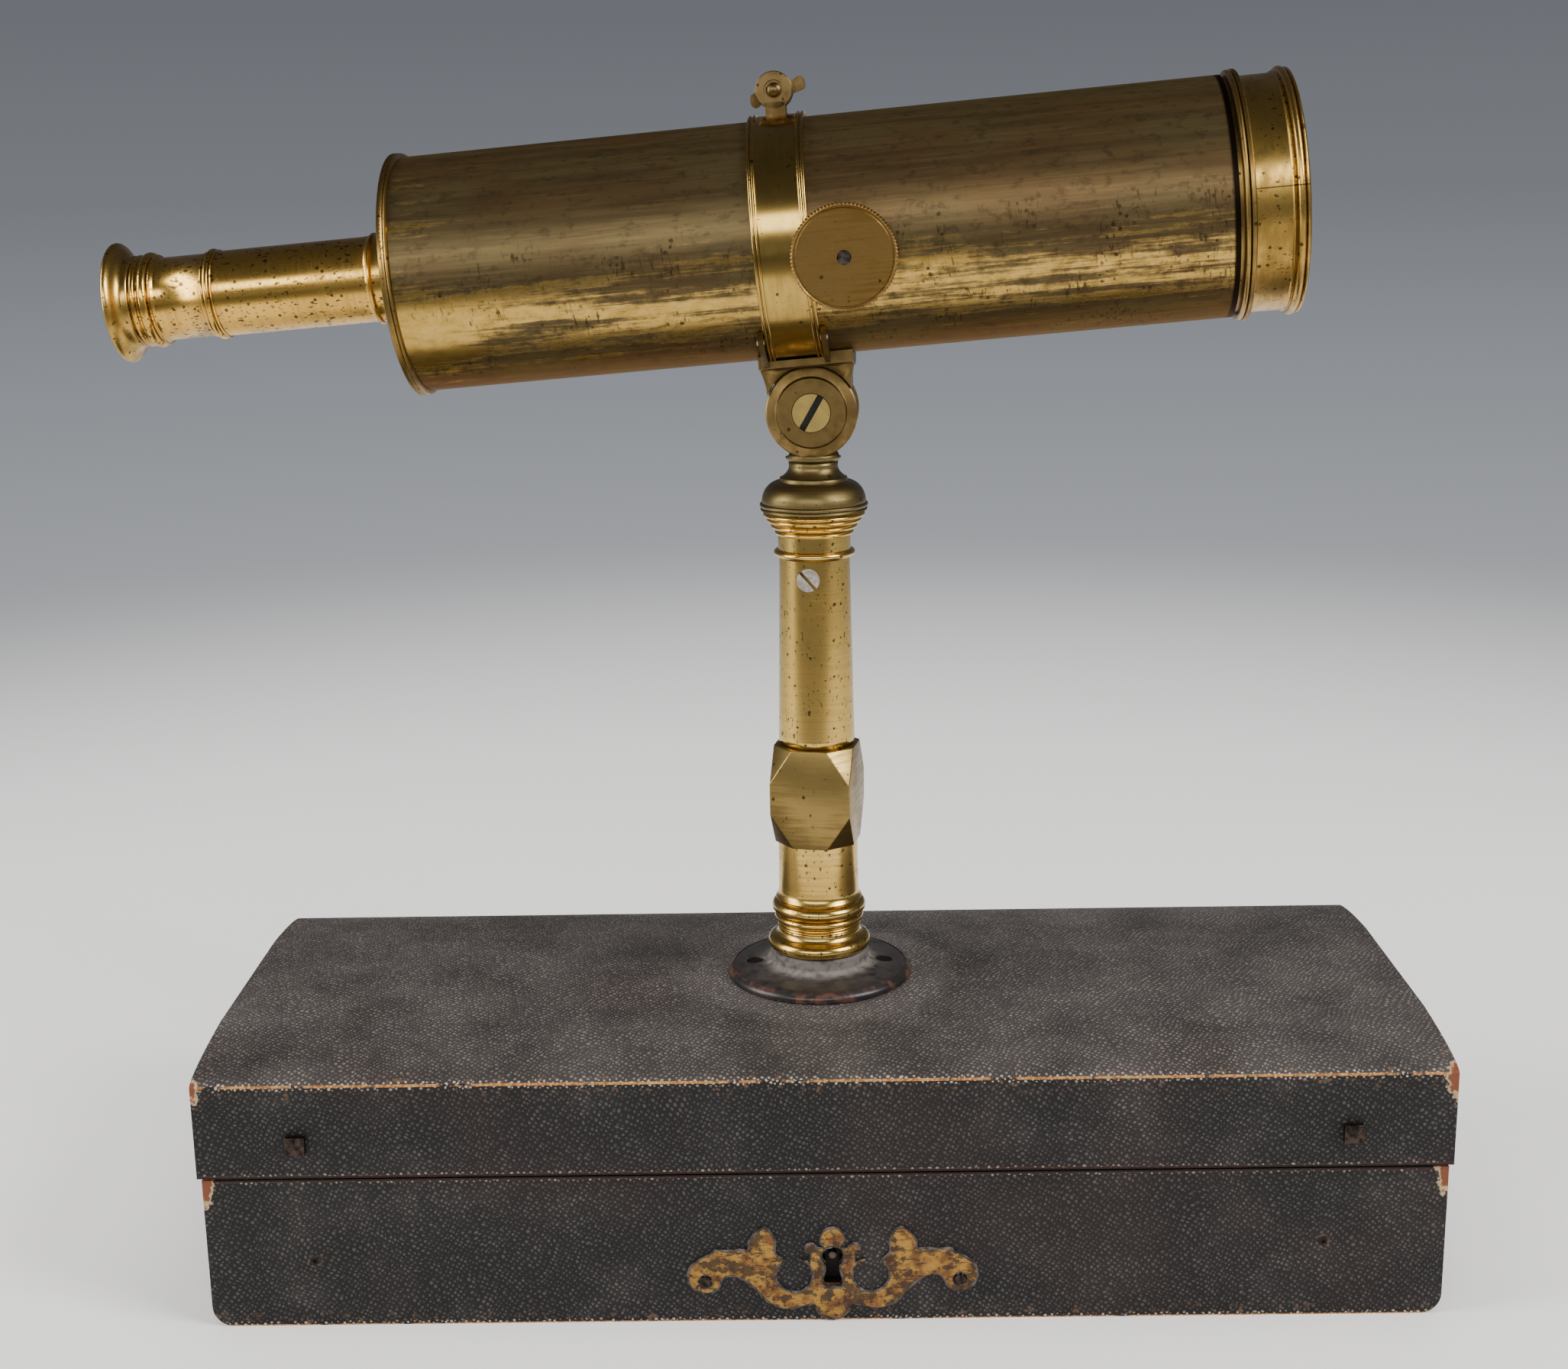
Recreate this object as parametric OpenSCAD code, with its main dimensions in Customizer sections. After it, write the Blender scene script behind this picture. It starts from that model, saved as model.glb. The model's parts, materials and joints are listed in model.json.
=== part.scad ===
// Gregorian reflecting telescope on a turned brass pillar that screws into the lid of its own case.
// Millimetres. The origin is the centre of the case's underside, +Z is up and +X is towards the mouth.

/* [Case] */
// Outside length of the lid
case_l = 350; // [300:1:420]
// Outside depth of the lid, front to back
case_d = 137; // [120:1:165]
// Height of the lower half
base_h = 45; // [38:0.5:60]
// Height of the lid's straight side
lid_side_h = 27.3; // [20:0.1:40]
// How much the lid's top is crowned
lid_crown = 6.4; // [3:0.1:9]
// Gap at the seam
seam_gap = 1; // [0.6:0.1:2]
// How far the lower half stands in from the lid, each side
base_inset = 1; // [0:0.1:2]
// Thickness of the fish skin
skin_t = 0.8; // [0.5:0.1:1.5]
// Thickness of the wooden walls
wall_t = 6.5; // [6:0.1:9]
// Thickness of the wooden floor and of the lid's top
board_t = 4; // [3:0.1:6]
// Thickness of the lining
lining_t = 0.4; // [0.3:0.1:0.8]
// Radius of the lower half's bottom corners
base_corner_r = 6; // [3:0.5:10]
// Height of the cradle blocks inside
cradle_h = 26; // [18:1:34]
// Width of a cradle block along the case
cradle_w = 20; // [12:1:30]

/* [Hinges and lock] */
// Distance between the two hinges
hinge_span = 220; // [160:1:260]
// Length of a hinge
hinge_l = 30; // [22:1:40]
// Radius of a hinge knuckle
knuckle_r = 2; // [1.8:0.1:3]
// Radius of a hinge pin
hinge_pin_r = 1; // [0.8:0.1:1.2]
// Thickness of a hinge leaf
leaf_t = 1.2; // [1:0.1:1.6]
// Sideways place of the lock
lock_x = 2.2; // [-10:0.1:10]
// Width of the lock
lock_w = 38; // [34:1:50]
// Height of the keyhole above the underside
keyhole_z = 19.6; // [19:0.1:24]
// Radius of the keyhole's round
keyhole_r = 3.05; // [2.6:0.05:3.2]
// Radius of the drill pin in the keyhole
key_pin_r = 1.1; // [0.8:0.05:1.3]
// Travel of the bolt
bolt_travel = 5; // [4:0.1:6]
// Thickness of the escutcheon
plate_t = 0.9; // [0.6:0.1:1.4]

/* [Flange and pillar] */
// Radius of the wooden flange
flange_r = 27.9; // [24:0.1:34]
// Height of the flange's boss above the lid's crest
flange_h = 7.9; // [6.5:0.1:10]
// Radius of the flange's boss
boss_r = 14.8; // [13:0.1:16]
// Distance of the flange screws from the centre
flange_screw_x = 19.5; // [18.5:0.1:21]
// Radius of the pillar's threaded stud
stud_r = 6; // [5:0.1:7]
// Radius of the pillar's foot ring
foot_r = 15.5; // [15:0.1:18]
// Height of the foot up to the grip
foot_h = 34; // [30:0.1:45]
// Radius of the shaft below the grip
shaft_low_r = 12; // [11.5:0.1:13]
// Height of the faceted grip
grip_h = 30; // [24:0.5:36]
// Width of the grip across its flats
grip_w = 24; // [22.5:0.1:28]
// Turn of the grip about the pillar
grip_turn = 12; // [0:1:45]
// Height of the shaft above the grip
shaft_h = 56; // [45:0.5:80]
// Radius of the shaft above the grip
shaft_r = 11.3; // [11:0.1:12]
// Radius of the shaft at its top
shaft_top_r = 10.3; // [10:0.1:11]
// Radius of the plug and tenon in the shaft
plug_r = 8.2; // [7.5:0.1:8.6]
// Radius of the swivel spindle
spindle_r = 5; // [4:0.1:5.6]
// Radius of the steel screw's head
pillar_screw_r = 3.3; // [2.8:0.1:3.6]

/* [Joint and saddle] */
// Radius of the milled bead
bead_r = 15.75; // [15:0.05:18]
// Radius of the joint's cheeks
cheek_r = 13.1; // [12:0.1:14]
// Half of the thickness across the cheeks
cheek_y = 7.6; // [7:0.1:9]
// Radius of the raised boss on a cheek
cheek_boss_r = 10.1; // [8.5:0.1:11]
// Half of the tongue's thickness
tongue_y = 3.5; // [2.8:0.1:4.2]
// Radius of the joint screw's head
joint_head_r = 5.4; // [4.8:0.1:6]
// Radius of the joint screw's shank
joint_pin_r = 3; // [2.5:0.1:3.6]
// Height of the barrel's axis above the joint
tube_rise = 48.4; // [47:0.1:60]
// Length of the saddle along the barrel
saddle_l = 26.8; // [25:0.1:32]
// Width of the saddle's waist along the barrel
saddle_waist = 24; // [21:0.1:25]
// Turn of the head from the case's length
head_turn = 3.27; // [-10:0.01:10]
// Tilt of the barrel in the stored pose
tube_tilt = 4.59; // [0:0.01:10]

/* [Clamp] */
// Width of the clamp band
band_w = 15.5; // [13:0.1:17]
// Offset of the band from the joint, along the barrel
band_s = -2.4; // [-3:0.1:0]
// Thickness of the band
band_t = 1.1; // [0.9:0.05:1.6]
// Radius of an ear
ear_r = 5.15; // [4.6:0.05:6]
// Height of the ear's centre above the band
ear_rise = 6.6; // [6:0.1:8]
// Radius of the thumbscrew's shank
thumb_r = 2.1; // [1.6:0.05:2.4]

/* [Barrel] */
// Outside radius of the barrel
tube_r = 32.9; // [30:0.1:34]
// Wall of the barrel
tube_wall = 1.2; // [1:0.05:2]
// Length of the barrel
tube_l = 227.9; // [215:0.1:280]
// How far the barrel's back end is behind the joint
tube_back = 108.8; // [90:0.1:130]
// How far the milled rims stand out from the barrel
rim_out = 1.2; // [0.8:0.05:2.5]
// Thickness of the back plate
back_t = 3.2; // [2.6:0.1:4.5]
// Thickness of the large mirror
mirror_t = 7.5; // [6:0.1:9]
// Radius of curvature of the large mirror
mirror_curve = 330; // [280:5:420]
// Radius of the hole in the large mirror
mirror_hole_r = 7; // [6:0.1:9]

/* [Eyepiece] */
// Outside radius of the long eye tube
eye_r = 12.1; // [11.5:0.05:14]
// Wall of the eye tubes
eye_wall = 1.1; // [0.8:0.05:1.4]
// Length of the long eye tube, with its ring and flare
eye_long = 53.6; // [40:0.1:70]
// Length of the short eye tube, with its ring
eye_short = 17.4; // [14:0.1:25]
// Length of the collar
eye_collar_l = 7.1; // [6.5:0.1:9]
// Length of the eye cup
eye_cup_l = 6; // [5:0.1:8]
// Radius of the eye cup's rim
eye_cup_r = 17.1; // [15:0.1:19]
// Radius of the eye hole
eye_hole_r = 1.6; // [1:0.1:2.5]

/* [Mouth and dust cap] */
// Length of the mouth ring outside the barrel
mouth_l = 4.1; // [3.6:0.1:6]
// How far the dust cap's band stands in from the barrel's outside
cap_inset = 0.8; // [0.3:0.05:1.5]
// Wall of the dust cap
cap_wall = 0.85; // [0.6:0.05:1.2]
// Length of the dust cap
cap_l = 14.4; // [13:0.1:20]

/* [Focusing] */
// Distance of the knob from the joint, along the barrel
knob_s = 14.3; // [14:0.1:20]
// How far the knob is turned below the horizontal
knob_drop = 7.6; // [0:0.1:20]
// Radius of the knob
knob_r = 14.4; // [12:0.1:15]
// Thickness of the knob
knob_t = 2.4; // [1.8:0.1:4]
// Height of the knob's inner face above the barrel
knob_gap = 3.2; // [3:0.1:5]
// Number of milling cuts round the knob
knob_cuts = 88; // [60:1:110]
// Radius of the focusing spindle
spindle_pin_r = 1.9; // [1.6:0.05:2]
// Tooth size, the pitch diameter over the number of teeth
tooth_size = 0.5; // [0.5:0.05:0.55]
// Number of pinion teeth
pinion_teeth = 12; // [12:1:14]
// Travel of the small mirror each way
focus_travel = 9; // [5:0.5:10]
// Distance of the small mirror from the joint, along the barrel
small_mirror_s = 98.4; // [85:0.1:102]
// Radius of the small mirror's cell
cell_r = 8.2; // [7:0.1:10]

/* [Fits] */
// Radial clearance of a part that turns or slides on another
running_gap = 0.05; // [0.03:0.01:0.1]
// Space between neighbours that move apart
part_gap = 0.3; // [0.2:0.05:0.4]

/* [Hidden] */
$fn = 48;

// Heights and walls of the case
lid_z = base_h + seam_gap;
case_top = lid_z + lid_side_h + lid_crown;
base_l = case_l - 2 * base_inset;
base_d = case_d - 2 * base_inset;
tray_wall = skin_t + wall_t;
tray_floor = skin_t + board_t;
floor_top = tray_floor + lining_t;
cradle_x = case_l * 0.27;
crown_power = 1.8;
end_roll_l = 18;
end_roll_h = 1;

// Hinges: the pin lies just behind the lid, in the middle of the seam
hinge_y = case_d / 2 + knuckle_r + 0.2;
hinge_z = base_h + seam_gap / 2;
hinge_xs = [-hinge_span / 2, hinge_span / 2];
leaf_in_y = base_d / 2 - tray_wall + 0.8;
leaf_out_y = hinge_y - knuckle_r - part_gap;
knuckle_half = hinge_l / 6;
leaf_screw_r = 0.9;
leaf_screw_l = 7;

// Lock: let into the front wall from the inside, its top flush with the wall
base_front = -base_d / 2;
lid_front = -case_d / 2;
lock_t = wall_t - 1;
lock_back = base_front + tray_wall;
lock_low = keyhole_z - 11;
bolt_h = 3.5;
bolt_t = 1.4;
bolt_l = 15;
bolt_z = base_h - 5.5;
bolt_y = lock_back - lock_t / 2;
bolt_x = lock_x - 8;
staple_x = bolt_x + bolt_l + 1;
staple_t = 2.5;
staple_wall = 0.7;
staple_y = bolt_t + 2 * part_gap + 2 * staple_wall;
staple_low = bolt_z - bolt_h / 2 - 1.3;

// Stubs of the two hook staples, and the holes of their eyes below
stub_leg = 2;
stub_in = 4;
stub_w = 5.5;
stub_out = 2.2;
stub_z = 10.3;
stub_from_end = 28.5;
hook_hole_r = 0.6;
hook_holes = [[-0.411 * case_l, 20], [0.4 * case_l, 22.6]];

// Right half of the escutcheon: leaf, scroll and lobes, from the keyhole's centre
escutcheon_wing = [
    [5.8, -14.4], [5.8, -8], [6, -2], [9, -0.4], [12.6, -1.5], [14.1, 0], [15.9, 1.6], [15.8, 5], [17.1, 8],
    [19.1, 9.6], [21.8, 8], [23.9, 5], [24, 2.9], [26.5, 3], [29.8, 2.6], [33, 2.9], [34.6, 1.6], [37.6, 0],
    [40.4, -2.4], [41.2, -5.4], [40.4, -8.2], [38.2, -10.3], [35.3, -10.9], [32.4, -9.7], [31.2, -7.4],
    [30, -5.9], [27.6, -5.8], [24.1, -7.6], [21.2, -10.6], [19.1, -13.2], [17.1, -14.7], [14.1, -15.9],
    [10.6, -15.8], [7.6, -14.9]
];
scroll_eye = [35.9, -7];
scroll_pin_r = 1.6;

// Pillar, from the flange upwards
foot_z = case_top + flange_h;
grip_z = foot_z + foot_h;
shaft_z = grip_z + grip_h;
capital_z = shaft_z + shaft_h;
capital_h = 13.9;
head_z = capital_z + capital_h;
neck_h = 16.9;
joint_z = head_z + neck_h + cheek_r - 1.3;
socket_low = foot_z + 12;
plug_low = capital_z - 20;
spindle_low = capital_z - 14;
groove_h = 3.2;
pillar_screw_z = capital_z - 5.3;
pillar_screw_turn = -11;
pillar_shank_r = 1.5;
bush_r = stud_r + 2.6;
stud_low = case_top - skin_t - board_t + 0.4;
flange_shank_r = 1.3;
flange_head_r = 2.6;
flange_head_z = case_top + 2.9;

// Stations along the barrel, from the joint, towards the mouth
tube_bore = tube_r - tube_wall;
rim_r = tube_r + rim_out;
tube_end = tube_l - tube_back;
plate_face = -tube_back - back_t;
eye_joint_s = plate_face - eye_long;
eye_collar_s = eye_joint_s - eye_short;
eye_cup_s = eye_collar_s - eye_collar_l;
eye_bore = eye_r - eye_wall;
eye_short_r = eye_r - 0.3;
eye_thread_r = 9.4;
mirror_back = -tube_back + 2.3;
mirror_front = mirror_back + mirror_t;
mirror_r = tube_bore - 0.8;
cap_r = tube_r - cap_inset;
cap_s = tube_end + mouth_l + part_gap;
cap_spigot_r = cap_r - cap_wall - running_gap;
cap_spigot_l = cap_l - 6;

// Clamp
band_in = tube_r + running_gap;
band_out = band_in + band_t;
reed_h = 0.5;
seat_r = band_out + reed_h;
ear_w = band_out + ear_rise;
ear_t = 2;
ear_gap = 3.2;
ear_neck = 5.6;
arm_turn = 49;
arm_w = 1.5;
collar_pin_r = 0.8;

// Focusing: places across the barrel are u, outwards to the knob, and t, upwards
pitch_r = tooth_size * pinion_teeth / 2;
rack_pitch = PI * tooth_size;
tooth_out = 0.8 * tooth_size;
tooth_in = 1.1 * tooth_size;
tooth_play = 0.08;
tooth_slope = 25;
slide_t = 1.6;
slide_half = 7;
slide_u = tube_bore - 4.8;
slot_half = focus_travel + pitch_r + 2;
slide_low = knob_s - slot_half - 28;
slide_high = small_mirror_s + 13;
guide_l = 9;
guide_low = knob_s - slot_half - 16;
guide_high = knob_s + slot_half + 14;
knob_u = tube_r + knob_gap;
pinion_w = 2;

function arc(x, y, r, from, to, steps = 8) =
    [for (i = [0:steps]) let (a = from + (to - from) * i / steps) [x + r * cos(a), y + r * sin(a)]];

// A convex half round on a turned outline, h high from z, reaching out to r
function bead(z, r, h, steps = 6) = arc(r - h / 2, z + h / 2, h / 2, -90, 90, steps);

// A curve from [r0, z0] to [r1, z1] that swells out by bulge, or is hollow where bulge is negative
function swell(r0, z0, r1, z1, bulge, steps = 8) =
    [for (i = [0:steps]) let (k = i / steps)
        [r0 + (r1 - r0) * k + bulge * sin(180 * k), z0 + (z1 - z0) * k]];

// The same outline without a point that repeats the one before it
function unrepeated(points) =
    [for (i = [0:len(points) - 1])
        if (i == 0 || norm(points[i] - points[max(i - 1, 0)]) > 0.001) points[i]];

// A smooth closed curve through a few points
function smooth_point(a, b, c, d, k) =
    0.5 * (2 * b + (c - a) * k + (2 * a - 5 * b + 4 * c - d) * k * k + (3 * b - a - 3 * c + d) * k * k * k);
function smooth(points, steps = 3) = let (n = len(points))
    [for (i = [0:n - 1], j = [0:steps - 1])
        smooth_point(
            points[(i + n - 1) % n], points[i], points[(i + 1) % n], points[(i + 2) % n], j / steps)];

module turned(outline) rotate_extrude($fn = 96) polygon(unrepeated(outline));

module ring(outer, inner, h) {
    difference() {
        cylinder(r = outer, h = h);
        translate([0, 0, -1]) cylinder(r = inner, h = h + 2);
    }
}

// The joint's own directions: Y along the joint screw
module on_joint() translate([0, 0, joint_z]) rotate([0, 0, -head_turn]) children();

// The barrel's directions: X along the barrel from the joint, Z up
module on_tube() on_joint() rotate([0, -tube_tilt, 0]) translate([0, 0, tube_rise]) children();

// Z along the barrel
module along_tube() on_tube() rotate([0, 90, 0]) children();

// X along the barrel, Y upwards round it and Z out towards the knob
module across_tube() on_tube() rotate([knob_drop, 0, 0]) rotate([90, 0, 0]) children();

// A slotted screw with the top of its head at z = 0, pointing down
module slotted_screw(head_r, head_h, shank_r, shank_l, slot_w, slot_d) {
    difference() {
        union() {
            translate([0, 0, -head_h]) cylinder(r = head_r, h = head_h);
            translate([0, 0, -shank_l]) cylinder(r = shank_r, h = shank_l - head_h / 2);
        }
        translate([-head_r - 1, -slot_w / 2, -slot_d]) cube([2 * head_r + 2, slot_w, slot_d + 1]);
    }
}

// Case

module base_solid(inset) {
    l = base_l - 2 * inset;
    d = base_d - 2 * inset;
    r = base_corner_r - inset;
    h = base_h - inset;
    translate([0, d / 2, inset]) rotate([90, 0, 0]) linear_extrude(d) {
        translate([-l / 2 + r, 0]) square([l - 2 * r, h]);
        translate([-l / 2, r]) square([l, h - r]);
        translate([-l / 2 + r, r]) circle(r);
        translate([l / 2 - r, r]) circle(r);
    }
}

module base_cavity(wall, low, high) {
    l = base_l - 2 * wall;
    d = base_d - 2 * wall;
    translate([-l / 2, -d / 2, low]) cube([l, d, high - low]);
}

function crown_z(y, d, side) = side + lid_crown * pow(1 - pow(abs(2 * y / d), crown_power), 1 / crown_power);

// The lid's outer form, drawn in at its sides and its top, from low upwards
module lid_solid(side_in, top_in, low = 0) {
    l = case_l - 2 * side_in;
    d = case_d - 2 * side_in;
    side = lid_side_h - top_in;
    top = side + lid_crown + 0.2;
    drop = end_roll_h + 0.2;
    crown = [for (i = [0:32]) let (y = -d / 2 * cos(180 * i / 32)) [y, crown_z(y, d, side)]];
    roll = [for (i = [0:6]) let (k = i / 6) [l / 2 - end_roll_l * (1 - k), top - drop * k * k]];
    left_roll = [for (i = [6:-1:0]) [-roll[i][0], roll[i][1]]];
    translate([0, 0, lid_z]) intersection() {
        rotate([90, 0, 90]) linear_extrude(l, center = true)
            polygon(concat([[-d / 2, low]], crown, [[d / 2, low]]));
        rotate([90, 0, 0]) linear_extrude(d + 2, center = true)
            polygon(concat([[-l / 2, low - 1]], left_roll, roll, [[l / 2, low - 1]]));
    }
}

module hinge_recesses(low, high) {
    for (x = hinge_xs) {
        translate([x - hinge_l / 2, leaf_in_y, low]) cube([hinge_l, case_d, high - low]);
    }
}

module hinge_screw_places() {
    for (x = hinge_xs, side = [-1, 1]) {
        translate([x + side * hinge_l / 3, (leaf_in_y + base_d / 2) / 2, 0]) children();
    }
}

module hinge_screw_holes(low) {
    hinge_screw_places() translate([0, 0, low]) cylinder(r = leaf_screw_r, h = leaf_screw_l + 1);
}

// Holes in the lower front where the hooks' eyes were
module hook_hole_places() {
    for (place = hook_holes) translate([place[0], base_front, place[1]]) rotate([90, 0, 0]) children();
}

// Keyhole in its own plane: round above, flared slot below
module keyhole_outline() {
    neck = keyhole_r * 0.62;
    flare = keyhole_r * 0.95;
    circle(keyhole_r);
    polygon([[-neck, 0], [-neck, -4], [-flare, -7.6], [-flare * 0.75, -9], [flare * 0.75, -9], [flare, -7.6],
        [neck, -4], [neck, 0]]);
}

module keyhole_cut(from_y, to_y) {
    translate([lock_x, to_y, keyhole_z]) rotate([90, 0, 0]) linear_extrude(to_y - from_y) keyhole_outline();
}

// The bottom board, with the four walls standing on it
module base_floor() {
    color("#7f5230") intersection() {
        base_solid(skin_t);
        translate([-case_l / 2, -case_d / 2, 0]) cube([case_l, case_d, tray_floor]);
    }
}

module base_carcass() {
    color("#8a5a33") difference() {
        base_solid(skin_t);
        translate([-case_l / 2, -case_d / 2, 0]) cube([case_l, case_d, tray_floor]);
        base_cavity(tray_wall, tray_floor - 1, base_h + 1);
        hinge_recesses(base_h - leaf_t, base_h + 1);
        translate([lock_x - lock_w / 2, lock_back - lock_t, lock_low]) cube([lock_w, lock_t + 2, base_h]);
        keyhole_cut(base_front - 1, lock_back);
        hinge_screw_holes(base_h - leaf_screw_l);
        hook_hole_places() cylinder(r = hook_hole_r, h = 8, center = true);
    }
}

module base_covering() {
    color("#2b2726") difference() {
        base_solid(0);
        base_solid(skin_t);
        translate([-case_l, -case_d, base_h]) cube([2 * case_l, 2 * case_d, 5]);
        hinge_recesses(base_h - leaf_t, base_h + 1);
        keyhole_cut(base_front - 1, base_front + skin_t + 1);
        hook_hole_places() cylinder(r = hook_hole_r, h = 8, center = true);
    }
}

module base_lining() {
    color("#3d5a46") difference() {
        base_cavity(tray_wall, tray_floor, base_h - 1);
        base_cavity(tray_wall + lining_t, floor_top, base_h);
    }
}

// Two blocks with a bed for the barrel at the back and one for the pillar at the front
module cradles() {
    d = base_d - 2 * (tray_wall + lining_t);
    barrel_y = d / 2 - rim_r - 1;
    pillar_y = -d / 2 + bead_r + 6;
    color("#3d5a46") difference() {
        for (side = [-1, 1]) {
            translate([side * cradle_x - cradle_w / 2, -d / 2, floor_top]) cube([cradle_w, d, cradle_h]);
        }
        translate([-case_l / 2, barrel_y, floor_top + rim_r + 1.5]) rotate([0, 90, 0])
            cylinder(r = tube_r + 1, h = case_l);
        translate([-case_l / 2, pillar_y, floor_top + cradle_h]) rotate([0, 90, 0])
            cylinder(r = bead_r + 1, h = case_l);
    }
}

// Leaf and knuckles of one half of a hinge, its pin along X at the origin
module half_hinge(leaf_z, knuckles) {
    difference() {
        union() {
            translate([-hinge_l / 2, leaf_in_y - hinge_y, leaf_z])
                cube([hinge_l, leaf_out_y - leaf_in_y, leaf_t]);
            for (k = knuckles) {
                translate([k[0], 0, 0]) rotate([0, 90, 0]) cylinder(r = knuckle_r, h = k[1] - k[0]);
                translate([k[0], leaf_in_y - hinge_y, leaf_z])
                    cube([k[1] - k[0], hinge_y - leaf_in_y, leaf_t]);
            }
        }
        for (k = knuckles) {
            translate([k[0] - 1, 0, 0]) rotate([0, 90, 0])
                cylinder(r = hinge_pin_r + (len(knuckles) == 1 ? running_gap : 0), h = k[1] - k[0] + 2);
        }
        for (side = [-1, 1]) {
            translate([side * hinge_l / 3, (leaf_in_y + base_d / 2) / 2 - hinge_y, leaf_z - 1])
                cylinder(r = leaf_screw_r, h = leaf_t + 2);
        }
    }
}

module base_hinge_leaves() {
    inner = knuckle_half + part_gap / 2;
    color("#b08a3c") for (x = hinge_xs) {
        translate([x, hinge_y, hinge_z])
            half_hinge(-seam_gap / 2 - leaf_t, [[-hinge_l / 2, -inner], [inner, hinge_l / 2]]);
    }
}

module lid_hinge_leaves() {
    inner = knuckle_half - part_gap / 2;
    color("#b08a3c") for (x = hinge_xs) {
        translate([x, hinge_y, hinge_z]) half_hinge(seam_gap / 2, [[-inner, inner]]);
    }
}

module hinge_pins() {
    color("#8f8f90") for (x = hinge_xs) {
        translate([x - hinge_l / 2, hinge_y, hinge_z]) rotate([0, 90, 0])
            cylinder(r = hinge_pin_r, h = hinge_l);
    }
}

module base_hinge_screws() {
    color("#8f8f90") hinge_screw_places()
        translate([0, 0, base_h - leaf_screw_l]) cylinder(r = leaf_screw_r, h = leaf_screw_l);
}

module lid_hinge_screws() {
    color("#8f8f90") hinge_screw_places()
        translate([0, 0, lid_z]) cylinder(r = leaf_screw_r, h = leaf_screw_l);
}

// The lock's case, with a way for the bolt, a slot for the staple and a pocket for the key
module lock_body() {
    color("#7d6a45") difference() {
        translate([lock_x - lock_w / 2, lock_back - lock_t, lock_low])
            cube([lock_w, lock_t, base_h - lock_low]);
        translate([bolt_x - 1, bolt_y - bolt_t / 2 - part_gap, bolt_z - bolt_h / 2 - part_gap])
            cube([bolt_l + bolt_travel + 3, bolt_t + 2 * part_gap, bolt_h + 2 * part_gap]);
        translate([staple_x - 0.5, bolt_y - staple_y / 2 - 0.5, staple_low - 0.5])
            cube([staple_t + 1, staple_y + 1, base_h]);
        keyhole_cut(base_front, lock_back - 2);
    }
}

module key_pin() {
    color("#6d6a66") translate([lock_x, lock_back - 2, keyhole_z]) rotate([90, 0, 0])
        cylinder(r = key_pin_r, h = tray_wall - 2 - skin_t);
}

module lock_bolt() {
    color("#8f8f90") translate([bolt_x, bolt_y - bolt_t / 2, bolt_z - bolt_h / 2])
        cube([bolt_l, bolt_t, bolt_h]);
}

module lock_staple() {
    plate_l = 16;
    plate_d = 4.2;
    color("#b08a3c") difference() {
        union() {
            translate([staple_x + staple_t / 2 - plate_l / 2, bolt_y - plate_d / 2, lid_z])
                cube([plate_l, plate_d, 1.2]);
            translate([staple_x, bolt_y - staple_y / 2, staple_low])
                cube([staple_t, staple_y, lid_z + 0.6 - staple_low]);
        }
        translate([staple_x - 1, bolt_y - bolt_t / 2 - part_gap, bolt_z - bolt_h / 2 - part_gap])
            cube([staple_t + 2, bolt_t + 2 * part_gap, bolt_h + 2 * part_gap]);
    }
}

module staple_seat() {
    translate([staple_x + staple_t / 2 - 8, bolt_y - 2.1, lid_z - 1]) cube([16, 4.2, 2.2]);
}

module escutcheon_form() {
    left_wing = [for (i = [len(escutcheon_wing) - 1:-1:0]) [-escutcheon_wing[i][0], escutcheon_wing[i][1]]];
    difference() {
        union() {
            translate([-6.4, -14.6, 0]) cube([12.8, 17.8, plate_t]);
            translate([0, 5.8, 0]) cylinder(r = 3.7, h = plate_t);
            translate([0, -14, 0]) cylinder(r = 5.4, h = plate_t);
            translate([-6.1, 2.8, 0]) cylinder(r = 1.9, h = plate_t);
            translate([6.1, 2.8, 0]) cylinder(r = 1.9, h = plate_t);
            linear_extrude(plate_t) polygon(smooth(escutcheon_wing));
            linear_extrude(plate_t) polygon(smooth(left_wing));
        }
        for (side = [-1, 1]) {
            translate([side * 10.8, -5.4, -1]) cylinder(r = 4.9, h = plate_t + 2);
            translate([side * 10.8 - 1.2, -3, -1]) cube([2.4, 4, plate_t + 2]);
            translate([side * scroll_eye[0], scroll_eye[1], -1]) cylinder(r = scroll_pin_r, h = plate_t + 2);
        }
        translate([0, 0, -1]) linear_extrude(plate_t + 2) keyhole_outline();
    }
}

module on_front() translate([lock_x, base_front, keyhole_z]) rotate([90, 0, 0]) children();

module escutcheon() {
    color("#a8823c") on_front() escutcheon_form();
}

module escutcheon_pins() {
    color("#5b4a33") on_front() for (side = [-1, 1]) {
        translate([side * scroll_eye[0], scroll_eye[1], 0]) cylinder(r = scroll_pin_r, h = plate_t + 0.3);
    }
}

// Lid

module flange_screw_places() {
    for (side = [-1, 1]) translate([side * flange_screw_x, 0, 0]) children();
}

module lid_holes() {
    translate([0, 0, lid_z]) cylinder(r = bush_r, h = 60);
    flange_screw_places() translate([0, 0, stud_low]) cylinder(r = flange_shank_r, h = 30);
}

module lid_carcass() {
    color("#8a5a33") difference() {
        lid_solid(skin_t, skin_t);
        lid_solid(tray_wall, skin_t + board_t, -1);
        hinge_recesses(lid_z - 1, lid_z + leaf_t);
        hinge_screw_holes(lid_z - 1);
        staple_seat();
        hook_stub_holes();
        lid_holes();
    }
}

module lid_covering() {
    color("#2b2726") difference() {
        lid_solid(0, 0);
        lid_solid(skin_t, skin_t, -1);
        hinge_recesses(lid_z - 1, lid_z + leaf_t);
        hook_stub_holes();
        lid_holes();
    }
}

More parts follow.
